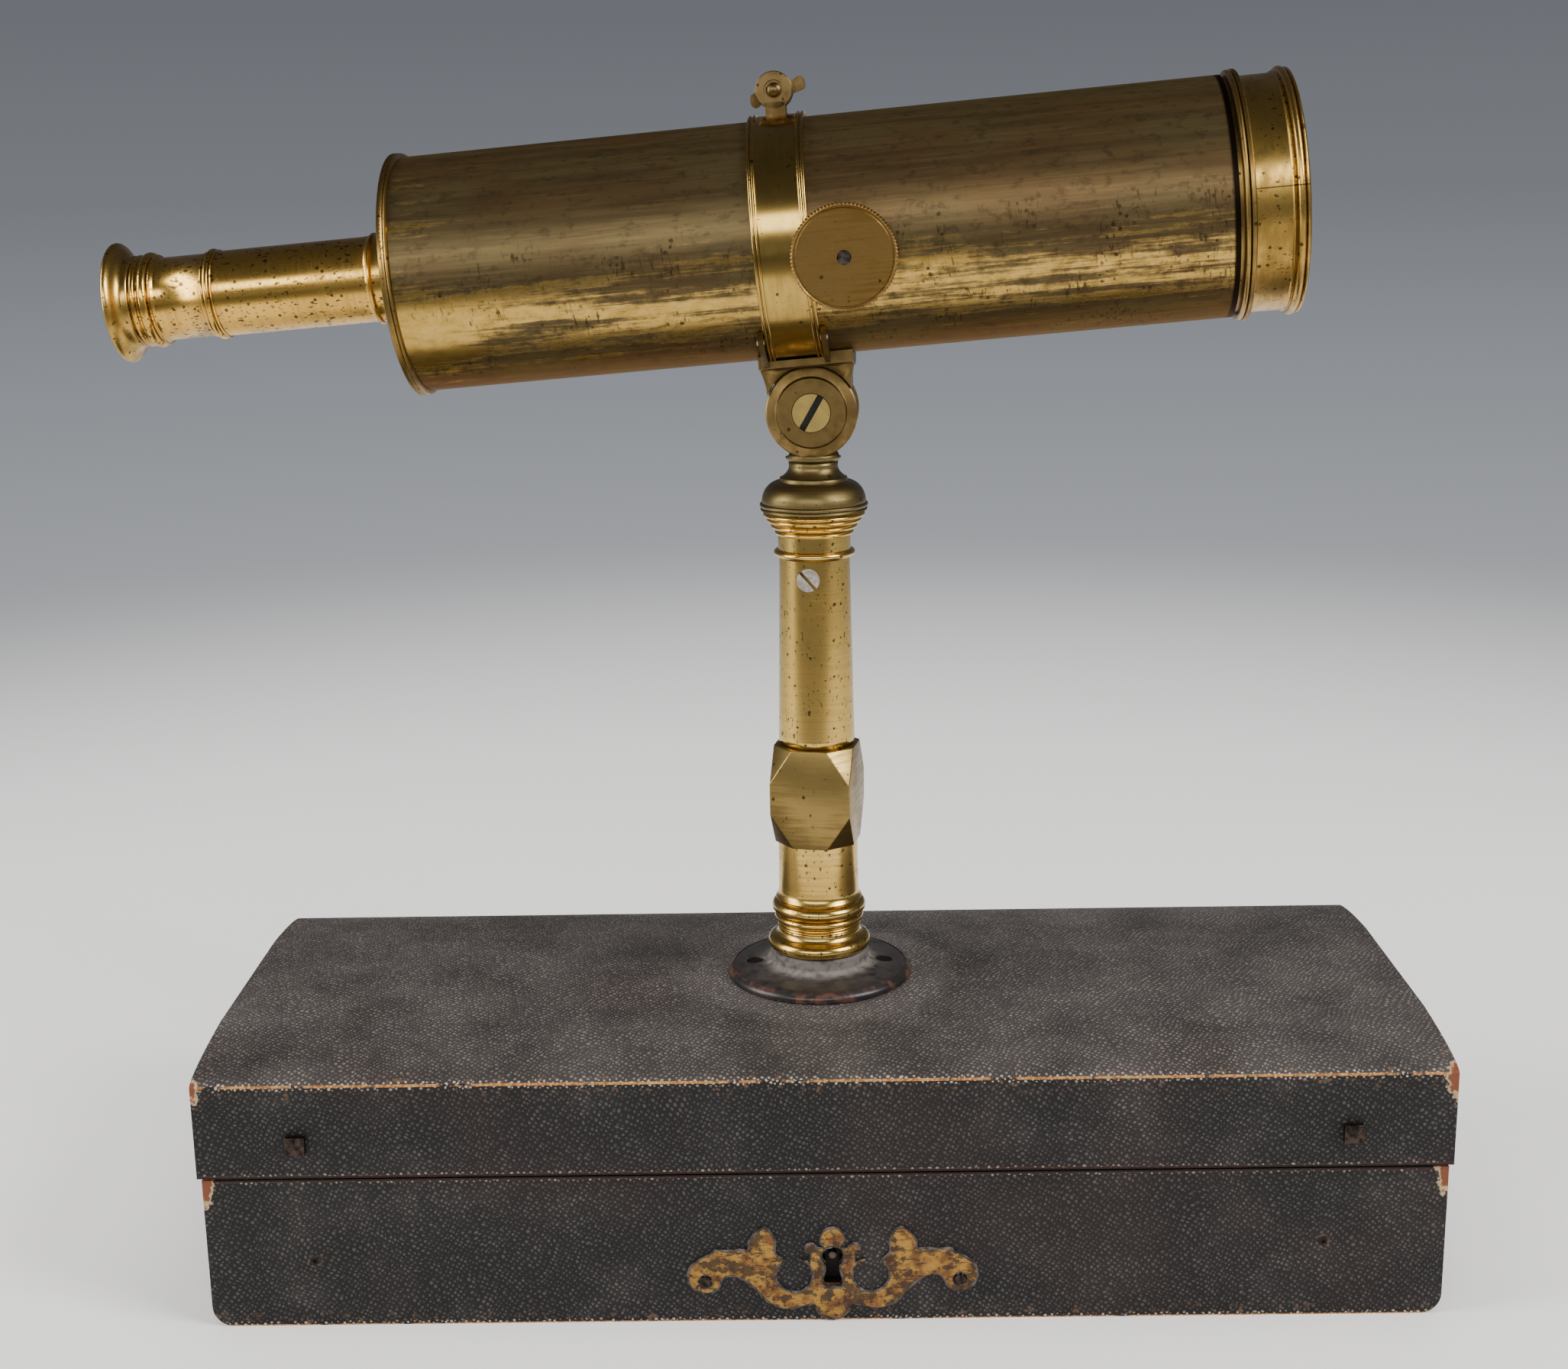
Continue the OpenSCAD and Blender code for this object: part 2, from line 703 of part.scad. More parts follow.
module lid_lining() {
    color("#3d5a46") difference() {
        lid_solid(tray_wall, skin_t + board_t, leaf_t + part_gap);
        lid_solid(tray_wall + lining_t, skin_t + board_t + lining_t);
        translate([0, 0, lid_z]) cylinder(r = bush_r, h = 60);
    }
}

module hook_stub_places() {
    for (side = [-1, 1]) {
        translate([side * (case_l / 2 - stub_from_end), lid_front, lid_z + stub_z]) children();
    }
}

module hook_stub_holes() {
    hook_stub_places() translate([-stub_leg / 2, -1, -stub_leg / 2]) cube([stub_leg, stub_in, stub_leg]);
}

module hook_stubs() {
    color("#3a3532") hook_stub_places() {
        translate([-stub_leg / 2, 0, -stub_leg / 2]) cube([stub_leg, stub_in - 1, stub_leg]);
        translate([-stub_w / 2, -stub_out, -stub_w / 2]) cube([stub_w, stub_out, stub_w]);
    }
}

module stand_flange() {
    outline = concat(
        [[0, -2], [flange_r - 0.6, -2], [flange_r, -1.2]],
        swell(flange_r, 0.4, flange_r - 1.5, 2.4, 0.5, 5),
        [[flange_r - 2, 2.2]],
        swell(flange_r - 2.4, 2.4, boss_r + 1.6, 3.6, -0.2, 5),
        swell(boss_r + 1.6, 3.6, boss_r, 5, -0.4, 5),
        [[boss_r, flange_h - 0.6], [boss_r - 0.6, flange_h], [0, flange_h]]);
    color("#2e2320") difference() {
        translate([0, 0, case_top]) turned(outline);
        lid_solid(0, 0);
        translate([0, 0, lid_z]) cylinder(r = bush_r, h = foot_z - 1.2 - lid_z);
        cylinder(r = stud_r, h = foot_z + 1);
        flange_screw_places() translate([0, 0, lid_z]) cylinder(r = flange_shank_r, h = 60);
        flange_screw_places() translate([0, 0, flange_head_z - 1.4]) cylinder(r = flange_head_r, h = 9);
    }
}

module flange_screws() {
    color("#4a4542") flange_screw_places() translate([0, 0, flange_head_z])
        slotted_screw(flange_head_r, 1.4, flange_shank_r, flange_head_z - stud_low, 0.7, 0.7);
}

module flange_bush() {
    color("#b08a3c") translate([0, 0, stud_low])
        ring(bush_r, stud_r, foot_z - 1.2 - stud_low);
}

// Pillar

module pillar_foot() {
    r = shaft_low_r;
    outline = concat(
        [[0, 0]],
        bead(0, foot_r, 4.4, 8),
        swell(foot_r - 2.2, 4.4, r + 0.3, 7, -0.5, 5),
        bead(7, r + 0.5, 0.9, 4),
        bead(7.9, r + 0.5, 0.9, 4),
        bead(8.8, r + 1.4, 2.4),
        bead(11.2, r + 2.15, 4.4, 8),
        [[r + 0.9, 15.8], [r + 0.9, 16.4]],
        swell(r + 0.9, 16.4, r, 18.6, -0.25, 4),
        [[r - 0.1, foot_h], [0, foot_h]]);
    color("#b98f3e") difference() {
        union() {
            translate([0, 0, foot_z]) turned(outline);
            translate([0, 0, stud_low]) cylinder(r = stud_r, h = foot_z + 1 - stud_low);
        }
        translate([0, 0, socket_low]) cylinder(r = plug_r, h = foot_h);
    }
}

// A square block whose eight corners are cut to triangles
module pillar_grip() {
    cut_w = 6.8;
    cut_h = 10.4;
    cut_depth = 1 / sqrt(2 / (cut_w * cut_w) + 1 / (cut_h * cut_h));
    lean = acos(cut_depth / cut_h);
    color("#b98f3e") translate([0, 0, grip_z + grip_h / 2]) rotate([0, 0, -grip_turn]) difference() {
        cube([grip_w, grip_w, grip_h], center = true);
        for (turn = [0:90:270], side = [0, 1]) mirror([0, 0, side]) rotate([0, 0, turn])
            translate([grip_w / 2, grip_w / 2, grip_h / 2]) rotate([0, 0, 45]) rotate([0, lean, 0])
                translate([-20, -20, -cut_depth]) cube([40, 40, 20]);
        cylinder(r = plug_r, h = grip_h + 2, center = true);
    }
}

// The shaft, with a tenon down through the grip into the foot
module pillar_shaft() {
    wall_low = plug_r - 2;
    color("#b98f3e") difference() {
        union() {
            translate([0, 0, shaft_z])
                turned([[0, 0], [shaft_r, 0], [shaft_r - 0.25, 12], [shaft_top_r, shaft_h], [0, shaft_h]]);
            translate([0, 0, socket_low]) cylinder(r = plug_r, h = shaft_z + 1 - socket_low);
        }
        translate([0, 0, plug_low]) cylinder(r = plug_r, h = shaft_h);
        translate([0, 0, socket_low - 1]) cylinder(r = wall_low, h = shaft_h * 3);
        at_pillar_screw() cylinder(r = pillar_screw_r, h = 40);
        at_pillar_screw() translate([0, 0, -12]) cylinder(r = pillar_shank_r, h = 20);
    }
}

// Where the steel screw's head seats, on a flat just inside the shaft's surface, Z outwards
module at_pillar_screw() {
    translate([0, 0, pillar_screw_z]) rotate([0, 0, pillar_screw_turn]) rotate([90, 0, 0])
        translate([0, 0, shaft_top_r - 1]) children();
}

module pillar_capital() {
    r = shaft_top_r + 0.3;
    outline = concat(
        [[0, 0], [shaft_top_r, 0]],
        [[r - 0.1, 0.4]],
        bead(0.5, r + 1.3, 1.9),
        [[r, 2.6], [r, 6.7]],
        bead(6.8, r + 0.9, 1.2),
        [[r + 0.7, 8.3], [r + 1, 8.5]],
        bead(8.6, r + 2, 1.3),
        [[r + 1.6, 10.1], [r + 2.2, 10.3]],
        bead(10.4, r + 3.2, 1.4),
        [[r + 2.7, 11.9], [bead_r - 1.6, 12]],
        bead(12.1, bead_r - 0.9, 1.2),
        [[bead_r - 1.6, capital_h - part_gap / 2], [0, capital_h - part_gap / 2]]);
    color("#b98f3e") difference() {
        union() {
            translate([0, 0, capital_z]) turned(outline);
            translate([0, 0, plug_low]) cylinder(r = plug_r, h = capital_z + 1 - plug_low);
        }
        translate([0, 0, plug_low - 1]) cylinder(r = spindle_r + running_gap, h = 60);
        at_pillar_screw() translate([0, 0, -12]) cylinder(r = pillar_shank_r, h = 20);
    }
}

module pillar_screw() {
    head_h = 1.6;
    reach = shaft_top_r - 1 - (spindle_r - 1.2) - part_gap;
    color("#a9a49c") at_pillar_screw() translate([0, 0, head_h]) rotate([0, 0, -48])
        slotted_screw(pillar_screw_r, head_h, pillar_shank_r, reach + head_h, 0.9, 0.8);
}

// Dome, neck and the two cheeks of the joint, with the spindle below
module swivel_head() {
    slot_floor = -cheek_r - part_gap;
    dome_edge_r = bead_r - 5.8;
    outline = concat(
        [[0, 0], [bead_r - 0.5, 0], [bead_r - 0.25, 0.1], [bead_r - 0.25, 0.9]],
        bead(0.9, bead_r, 1.3),
        [for (a = [0:9:90]) [dome_edge_r + (bead_r - 0.6 - dome_edge_r) * cos(a), 2.3 + 6.1 * sin(a)]],
        [[dome_edge_r, 8.8], [dome_edge_r - 0.2, 9.4]],
        swell(dome_edge_r - 0.5, 9.4, 7.1, 13, -0.7, 6),
        [[7.2, 13.9]],
        bead(14.1, 8.1, 2.7),
        [[cheek_y - 0.2, neck_h], [0, neck_h]]);
    color("#b98f3e") difference() {
        union() {
            translate([0, 0, head_z]) turned(outline);
            translate([0, 0, spindle_low]) cylinder(r = spindle_r, h = head_z + 1 - spindle_low);
            on_joint() rotate([90, 0, 0]) {
                translate([0, 0, -cheek_y]) cylinder(r = cheek_r, h = 2 * cheek_y);
                translate([0, 0, -cheek_y - 0.8]) cylinder(r = cheek_boss_r, h = 2 * cheek_y + 1.6);
            }
        }
        on_joint() {
            translate([-cheek_r - 1, -tongue_y - running_gap, slot_floor])
                cube([2 * cheek_r + 2, 2 * (tongue_y + running_gap), 2 * cheek_r + 10]);
            rotate([90, 0, 0]) translate([0, 0, -cheek_y - 2]) cylinder(r = joint_pin_r, h = 2 * cheek_y + 4);
            rotate([90, 0, 0]) translate([0, 0, cheek_y - 0.9]) cylinder(r = joint_head_r, h = 4);
        }
        translate([0, 0, pillar_screw_z - groove_h / 2]) ring(spindle_r + 1, spindle_r - 1.2, groove_h);
    }
}

module joint_screw() {
    head_h = 1.9;
    color("#c29a48") on_joint() rotate([90, 0, 0])
        translate([0, 0, cheek_y - 0.9 + head_h]) rotate([0, 0, 60])
        slotted_screw(joint_head_r, head_h, joint_pin_r, 2 * cheek_y - 0.1 + head_h, 1.9, 1.2);
}

// Saddle and clamp

module saddle() {
    top = saddle_l / 2;
    waist = saddle_waist / 2;
    low = tube_rise - 6.5;
    high = seat_r - 4;
    reach = low - seat_r - 0.6;
    flare = [for (i = [0:6]) [waist + (top - waist) * (1 - cos(15 * i)), -low + reach * i / 6]];
    left_flare = [for (i = [6:-1:0]) [-flare[i][0], flare[i][1]]];
    side = concat(
        [[-waist, -tube_rise], [waist, -tube_rise]], flare, [[top, -high], [-top, -high]], left_flare);
    color("#a67f3a") difference() {
        union() {
            difference() {
                union() {
                    on_tube() rotate([90, 0, 0])
                        linear_extrude(2 * cheek_y + 0.6, center = true) polygon(side);
                    on_tube() intersection() {
                        rotate([0, 90, 0]) cylinder(r = seat_r + 1.9, h = saddle_l, center = true);
                        translate([-30, -11, -50]) cube([60, 22, 30]);
                    }
                }
                on_joint() rotate([90, 0, 0])
                    cylinder(r = cheek_r + part_gap, h = 2 * cheek_y + 1, center = true);
            }
            on_joint() rotate([90, 0, 0])
                cylinder(r = cheek_r - part_gap, h = 2 * tongue_y, center = true);
            on_tube() translate([-waist + 2, -tongue_y, -tube_rise + 4])
                cube([2 * waist - 4, 2 * tongue_y, tube_rise - seat_r - 3.5]);
            cradle_arms();
        }
        along_tube() translate([0, 0, band_s]) cylinder(r = seat_r, h = band_w + part_gap, center = true);
        along_tube() cylinder(r = tube_r + part_gap, h = 2 * saddle_l, center = true);
        on_joint() rotate([90, 0, 0]) cylinder(r = joint_pin_r + running_gap, h = 40, center = true);
        collar_pin_places() cylinder(r = collar_pin_r, h = 10);
    }
}

// Arms that rise beside the band's edges and hold its pins
module cradle_arms() {
    half = 90 - arm_turn + 4;
    for (s = [band_s - band_w / 2 - part_gap / 2 - arm_w, band_s + band_w / 2 + part_gap / 2]) {
        on_tube() translate([s, 0, 0]) rotate([-half, 0, 0]) rotate([0, 90, 0])
            rotate_extrude(angle = 2 * half, $fn = 96) translate([tube_r + part_gap, 0]) square([3, arm_w]);
    }
}

// Where the collar's pins are, beside the band, Z outwards along the barrel
module collar_pin_places() {
    for (edge = [0, 1], side = [-1, 1]) {
        on_tube() translate([band_s, 0, 0])
            rotate([side * (90 - arm_turn), 0, 0]) rotate([0, 0, 180 * edge])
            translate([band_w / 2, 0, -seat_r - 0.4]) rotate([0, 90, 0]) children();
    }
}

module clamp_band() {
    half = band_w / 2;
    outline = concat(
        [[band_in, -half], [band_out, -half]],
        bead(-half, band_out + reed_h, 1, 4),
        bead(-half + 1.1, band_out + reed_h, 1, 4),
        [[band_out, -half + 2.4], [band_out, half - 2.4]],
        bead(half - 2.1, band_out + reed_h, 1, 4),
        bead(half - 1, band_out + reed_h, 1, 4),
        [[band_out, half], [band_in, half]]);
    color("#a67f3a") difference() {
        union() {
            along_tube() translate([0, 0, band_s]) turned(outline);
            for (side = [-1, 1]) ear(side);
        }
        on_tube() translate([band_s - band_w, -ear_gap / 2, 10]) cube([2 * band_w, ear_gap, 60]);
        on_ears() cylinder(r = thumb_r + running_gap, h = 30, center = true);
        on_ears() translate([0, 0, ear_gap / 2 + ear_t - 0.7]) cylinder(r = thumb_r + 0.7, h = 5);
        along_tube() cylinder(r = band_in, h = 100, center = true);
    }
}

// The thumbscrew's axis, Z towards the front
module on_ears() on_tube() translate([band_s, 0, ear_w]) rotate([90, 0, 0]) children();

module ear(side) {
    on_ears() translate([0, 0, side > 0 ? ear_gap / 2 : -ear_gap / 2 - ear_t]) {
        cylinder(r = ear_r, h = ear_t);
        translate([-ear_neck / 2, -ear_rise - band_t, 0]) cube([ear_neck, ear_rise + band_t, ear_t]);
    }
}

module collar_pins() {
    color("#8f8f90") collar_pin_places() cylinder(r = collar_pin_r, h = part_gap / 2 + arm_w + 0.4);
}

// The wings stand far enough behind the ears to turn clear of the band
module clamp_thumbscrew() {
    back = -ear_gap / 2 - ear_t;
    wing_z = back - 11.4;
    wing = [[1, -1.4], [3, -1.9], [5.4, -2.2], [7.4, -2], [8.1, -0.8], [8.2, 0.9], [7.2, 1.9], [5, 1.4],
        [3, 1.6], [1, 1.4]];
    color("#a67f3a") on_ears() rotate([0, 0, 17]) {
        translate([0, 0, back - 3.4]) cylinder(r = 3.4, h = 3.4 - running_gap);
        translate([0, 0, wing_z]) cylinder(r = thumb_r, h = ear_gap / 2 + ear_t - 0.6 - wing_z);
        translate([0, 0, ear_gap / 2 + ear_t - 0.7]) intersection() {
            cylinder(r = thumb_r, h = 3);
            translate([0, 0, -thumb_r * 0.9]) sphere(r = thumb_r * 1.35);
        }
        translate([0, 0, wing_z]) cylinder(r = 2.7, h = 8.5);
        for (turn = [0, 180]) rotate([0, 0, turn])
            translate([0, 0, wing_z]) linear_extrude(2.4) polygon(smooth(wing));
    }
}

// Barrel

module barrel_tube() {
    color("#9a7a40") difference() {
        along_tube() translate([0, 0, -tube_back]) ring(tube_r, tube_bore, tube_l);
        across_tube() translate([knob_s, 0, 20]) cylinder(r = pitch_r + 1.4, h = 40);
    }
}

module back_plate() {
    outline = concat(
        [[eye_thread_r, plate_face], [rim_r - 1.6, plate_face], [rim_r - 0.8, plate_face + 0.2],
            [rim_r, plate_face + 0.5], [rim_r, plate_face + back_t - 1.3]],
        bead(plate_face + back_t - 1.2, rim_r - 0.1, 1.1, 4),
        [[rim_r - 0.9, -tube_back], [tube_bore, -tube_back], [tube_bore, -tube_back + 2.2],
            [tube_bore - 1.6, -tube_back + 2.2], [tube_bore - 1.6, -tube_back - 0.4],
            [eye_thread_r, -tube_back - 0.4]]);
    color("#9a7a40") along_tube() turned(outline);
}

module primary_mirror() {
    sag = mirror_curve - sqrt(mirror_curve * mirror_curve - mirror_r * mirror_r);
    hollow = [for (i = [0:8]) let (r = mirror_r - (mirror_r - mirror_hole_r) * i / 8)
        [r, mirror_front - sag + mirror_curve - sqrt(mirror_curve * mirror_curve - r * r)]];
    color("#c9c4b8") along_tube()
        turned(concat([[mirror_hole_r, mirror_back], [mirror_r, mirror_back]], hollow));
}

// A thin ring with three fingers that press the mirror forwards
module mirror_spring() {
    finger = 5;
    color("#b08a3c") along_tube() translate([0, 0, -tube_back - 0.4]) {
        difference() {
            union() {
                cylinder(r = 15, h = 0.6);
                for (turn = [0, 120, 240]) rotate([0, 0, turn]) translate([0, -finger / 2, 0]) {
                    cube([26, finger, 0.6]);
                    translate([23, 0, 0]) cube([3, finger, 2.7]);
                }
            }
            translate([0, 0, -1]) cylinder(r = mirror_hole_r + 4, h = 5);
        }
    }
}

module mirror_ring() {
    color("#9a7a40") along_tube() translate([0, 0, mirror_front]) ring(tube_bore, mirror_r - 1.8, 2.4);
}

// Eyepiece

module eye_tube() {
    r = eye_r;
    outline = concat(
        [[eye_bore, eye_joint_s], [r, eye_joint_s], [r, eye_joint_s + 42]],
        bead(eye_joint_s + 44.6, r + 0.9, 1.4, 5),
        [[r + 0.1, eye_joint_s + 46.2]],
        swell(r + 0.1, eye_joint_s + 46.2, r + 1.6, plate_face, -0.5, 6),
        [[eye_thread_r, plate_face], [eye_thread_r, plate_face + back_t - 0.4],
            [eye_thread_r - 1.2, plate_face + back_t - 0.4], [eye_thread_r - 1.2, plate_face - 4],
            [eye_bore, plate_face - 4]]);
    color("#b98f3e") along_tube() turned(outline);
}

module eye_coupling() {
    r = eye_short_r;
    s = eye_collar_s;
    outline = concat(
        [[r - 1.6, s], [r, s], [r, s + eye_short - 3.8], [r + 0.4, s + eye_short - 3.6],
            [r + 0.4, s + eye_short - 3]],
        bead(s + eye_short - 2.8, eye_r + 0.85, 1.9),
        [[eye_r + 0.35, s + eye_short - 0.8], [eye_r + 0.35, s + eye_short], [eye_bore, s + eye_short],
            [eye_bore, s + eye_short + 5], [eye_bore - 1.1, s + eye_short + 5],
            [eye_bore - 1.1, s + eye_short - 3], [r - 1.6, s + eye_short - 3]]);
    color("#b98f3e") along_tube() turned(outline);
}

module eye_collar() {
    r = eye_r;
    s = eye_cup_s;
    l = eye_collar_l;
    outline = concat(
        [[r - 4, s], [r + 0.3, s]],
        bead(s + 0.1, r + 1, 2),
        [[r + 0.1, s + 2.3]],
        bead(s + 2.5, r + 1.5, 3),
        [[r + 0.6, s + 5.7], [r + 0.6, s + 6.3], [eye_short_r, s + 6.5], [eye_short_r, s + l],
            [r - 1.9, s + l], [r - 1.9, s + l + 4], [r - 3, s + l + 4], [r - 3, s + 4.5],
            [r - 4, s + 4.5]]);
    color("#b98f3e") along_tube() turned(outline);
}

module eye_cup() {
    s = eye_cup_s - part_gap;
    l = eye_cup_l;
    r = eye_r;
    outline = concat(
        [[eye_hole_r, s - 0.8], [eye_hole_r, s - 2.2], [6, s - 2.4]],
        swell(6, s - 2.4, eye_cup_r - 2.2, s - l + 0.3, -0.6, 6),
        arc(eye_cup_r - 0.9, s - l + 0.9, 0.9, -110, 60, 6),
        swell(eye_cup_r - 0.6, s - l + 1.9, r + 0.9, s - 0.5, -1, 6),
        [[r + 0.9, s], [r - 4, s], [r - 4, s + 2.5], [r - 5.2, s + 2.5], [r - 5.2, s - 0.8]]);
    color("#b98f3e") along_tube() turned(outline);
}

module lens(r, rim_t, curve, s) {
    sag = curve - sqrt(curve * curve - r * r);
    along_tube() translate([0, 0, s]) intersection() {
        cylinder(r = r, h = rim_t + sag);
        translate([0, 0, rim_t + sag - curve]) sphere(r = curve, $fn = 96);
    }
}

module field_lens() {
    color("#dfe8e6", 0.5) lens(eye_bore - 1.2, 1.2, 34, eye_joint_s + 34);
}

module field_lens_ring() {
    color("#b98f3e") along_tube() translate([0, 0, eye_joint_s + 33]) difference() {
        cylinder(r = eye_bore, h = 5);
        translate([0, 0, 1]) cylinder(r = eye_bore - 1.2, h = 5);
        translate([0, 0, -1]) cylinder(r = eye_bore - 2.4, h = 5);
    }
}

module eye_stop() {
    color("#6d5a3a") along_tube() translate([0, 0, eye_joint_s + 9]) ring(eye_bore, 5.5, 1);
}

module eye_lens() {
    color("#dfe8e6", 0.5) lens(eye_r - 3, 1.2, 16, eye_cup_s + 4.5);
}

// Mouth and dust cap

module mouth_ring() {
    s = tube_end;
    outline = concat(
        [[cap_spigot_r - 1.4, s - 7], [tube_bore, s - 7], [tube_bore, s], [tube_bore - 0.1, s + 0.1],
            [tube_bore - 0.1, s + 1.1], [rim_r - 1.1, s + 1.1]],
        bead(s + 1.2, rim_r - 0.1, 1.5),
        [[rim_r - 0.5, s + 2.8], [rim_r, s + 2.9], [rim_r, s + mouth_l - 0.3],
            [rim_r - 0.3, s + mouth_l], [cap_spigot_r, s + mouth_l],
            [cap_spigot_r, s + mouth_l + cap_spigot_l],
            [cap_spigot_r - 1.4, s + mouth_l + cap_spigot_l]]);
    color("#9a7a40") along_tube() turned(outline);
}

module cap_band() {
    r = cap_r;
    s = cap_s;
    inner = cap_r - cap_wall;
    outline = concat(
        [[inner, s], [r, s], [r, s + cap_l - 5.2]],
        bead(s + cap_l - 5.1, r + 0.5, 0.9, 4),
        [[r + 0.2, s + cap_l - 4]],
        bead(s + cap_l - 3.9, r + 1.6, 2.2),
        [[r + 0.4, s + cap_l - 1.6]],
        bead(s + cap_l - 1.5, r + 1.2, 0.9, 4),
        [[r + 0.6, s + cap_l - 0.5], [r - 0.2, s + cap_l - 0.3], [r - 1, s + cap_l - 1.2],
            [inner, s + cap_l - 2]]);
    color("#b98f3e") along_tube() turned(outline);
}

module cap_disc() {
    r = cap_r - cap_wall;
    s = cap_s + cap_l - 4;
    outline = [[0, s], [r, s], [r, s + 1.2], [r - 2.5, s + 1.2], [r - 3.2, s + 1], [0, s + 1]];
    color("#b98f3e") along_tube() turned(outline);
}

// Focusing

module focus_knob() {
    cut = 0.35;
    edge = [for (i = [0:2 * knob_cuts - 1])
        let (a = 180 * i / knob_cuts, r = knob_r - (i % 2 == 0 ? 0 : cut)) [r * cos(a), r * sin(a)]];
    color("#a8803a") across_tube() translate([knob_s, 0, knob_u]) difference() {
        union() {
            cylinder(r = knob_r - cut - 0.15, h = knob_t);
            translate([0, 0, 0.5]) linear_extrude(knob_t - 1) polygon(edge);
        }
        translate([0, 0, -1]) cylinder(r = spindle_pin_r, h = knob_t + 2);
    }
}

module focus_spindle() {
    low = slide_u - 0.8;
    square_w = spindle_pin_r * 1.72;
    color("#9d9a95") across_tube() translate([knob_s, 0, 0]) {
        translate([0, 0, low]) cylinder(r = spindle_pin_r, h = knob_u + 0.4 - low);
        translate([0, 0, knob_u]) intersection() {
            cylinder(r = spindle_pin_r, h = knob_t + 0.5);
            translate([-square_w / 2, -square_w / 2, 0]) cube([square_w, square_w, knob_t + 0.5]);
        }
    }
}

module focus_bush() {
    color("#a8803a") across_tube() translate([knob_s, 0, 0]) difference() {
        union() {
            cylinder(r = 6, h = knob_u - part_gap);
            cylinder(r = pitch_r + 1.4, h = knob_u - part_gap);
        }
        cylinder(r = 20, h = slide_u + slide_t / 2 + pinion_w / 2 + part_gap);
        difference() {
            translate([-30, 0, 0]) rotate([0, 90, 0]) cylinder(r = tube_r, h = 60);
            cylinder(r = pitch_r + 1.4, h = 60);
        }
        cylinder(r = spindle_pin_r + running_gap, h = 60);
    }
}

function inv(a) = tan(a) - a * PI / 180;

// Half of a tooth's angle at radius r
function tooth_half(r) = let (base = pitch_r * cos(tooth_slope), at = r > base ? acos(base / r) : 0)
    ((rack_pitch / 2 - tooth_play) / (2 * pitch_r) + inv(tooth_slope) - inv(at)) * 180 / PI;

module pinion_outline() {
    root = pitch_r - tooth_in;
    tip = pitch_r + tooth_out;
    radii = [for (i = [0:5]) root + (tip - root) * i / 5];
    polygon([for (n = [0:pinion_teeth - 1], i = [0:11])
        let (r = radii[i < 6 ? i : 11 - i], side = i < 6 ? -1 : 1,
            a = 360 * (n + 0.5) / pinion_teeth - 90 + side * tooth_half(r))
        [r * cos(a), r * sin(a)]]);
}

module focus_pinion() {
    color("#a8803a") across_tube() translate([knob_s, 0, slide_u + (slide_t - pinion_w) / 2]) difference() {
        linear_extrude(pinion_w) pinion_outline();
        translate([0, 0, -1]) cylinder(r = spindle_pin_r, h = pinion_w + 2);
    }
}

// The slide: a strip with a slot, and the rack's teeth along the slot's lower edge
module focus_slide() {
    n = ceil(slot_half / rack_pitch) - 1;
    thick = rack_pitch / 4 - tooth_play / 2;
    lean_in = tooth_in * tan(tooth_slope);
    lean_out = tooth_out * tan(tooth_slope);
    color("#a8803a") across_tube() translate([0, 0, slide_u]) linear_extrude(slide_t) {
        difference() {
            translate([slide_low, -slide_half]) square([slide_high - slide_low, 2 * slide_half]);
            translate([knob_s - slot_half, -pitch_r - tooth_in])
                square([2 * slot_half, 2 * pitch_r + tooth_in + tooth_out + 0.6]);
        }
        for (i = [-n:n]) translate([knob_s + i * rack_pitch, -pitch_r])
            polygon([[-thick - lean_in, -tooth_in - 0.2], [thick + lean_in, -tooth_in - 0.2],
                [thick - lean_out, tooth_out], [-thick + lean_out, tooth_out]]);
    }
}

module slide_guides() {
    color("#9a7a40") for (s = [guide_low, guide_high]) {
        across_tube() difference() {
            intersection() {
                translate([s, -slide_half - 3, slide_u - 1.6]) cube([guide_l, 2 * slide_half + 6, 10]);
                rotate([0, 90, 0]) cylinder(r = tube_bore, h = 400, center = true);
            }
            translate([s - 1, -slide_half - running_gap, slide_u - running_gap])
                cube([guide_l + 2, 2 * (slide_half + running_gap), slide_t + 2 * running_gap]);
        }
    }
}

module secondary_arm() {
    color("#9a7a40") across_tube() difference() {
        union() {
            translate([small_mirror_s - 4, -5, slide_u - 1.5]) cube([15, 10, 1.5]);
            translate([small_mirror_s + 2.4, -2.5, 0]) cube([2.2, 5, slide_u]);
        }
        rotate([0, 90, 0]) cylinder(r = cell_r, h = 400);
    }
}

module secondary_cell() {
    color("#9a7a40") along_tube() translate([0, 0, small_mirror_s]) difference() {
        cylinder(r = cell_r, h = 8.5);
        translate([0, 0, -1]) cylinder(r = cell_r - 0.8, h = 5);
        for (turn = [0, 120, 240]) rotate([0, 0, turn])
            translate([cell_r - 3, 0, 3]) cylinder(r = 0.9, h = 8);
    }
}

module secondary_mirror() {
    curve = 60;
    color("#c9c4b8") along_tube() translate([0, 0, small_mirror_s]) difference() {
        translate([0, 0, 0.4]) cylinder(r = cell_r - 0.8, h = 3.6);
        translate([0, 0, 0.9 - curve]) sphere(r = curve, $fn = 96);
    }
}

module cell_screws() {
    color("#9d9a95") along_tube() for (turn = [0, 120, 240]) rotate([0, 0, turn])
        translate([cell_r - 3, 0, small_mirror_s + 10]) slotted_screw(1.6, 1.5, 0.9, 5.5, 0.4, 0.5);
}

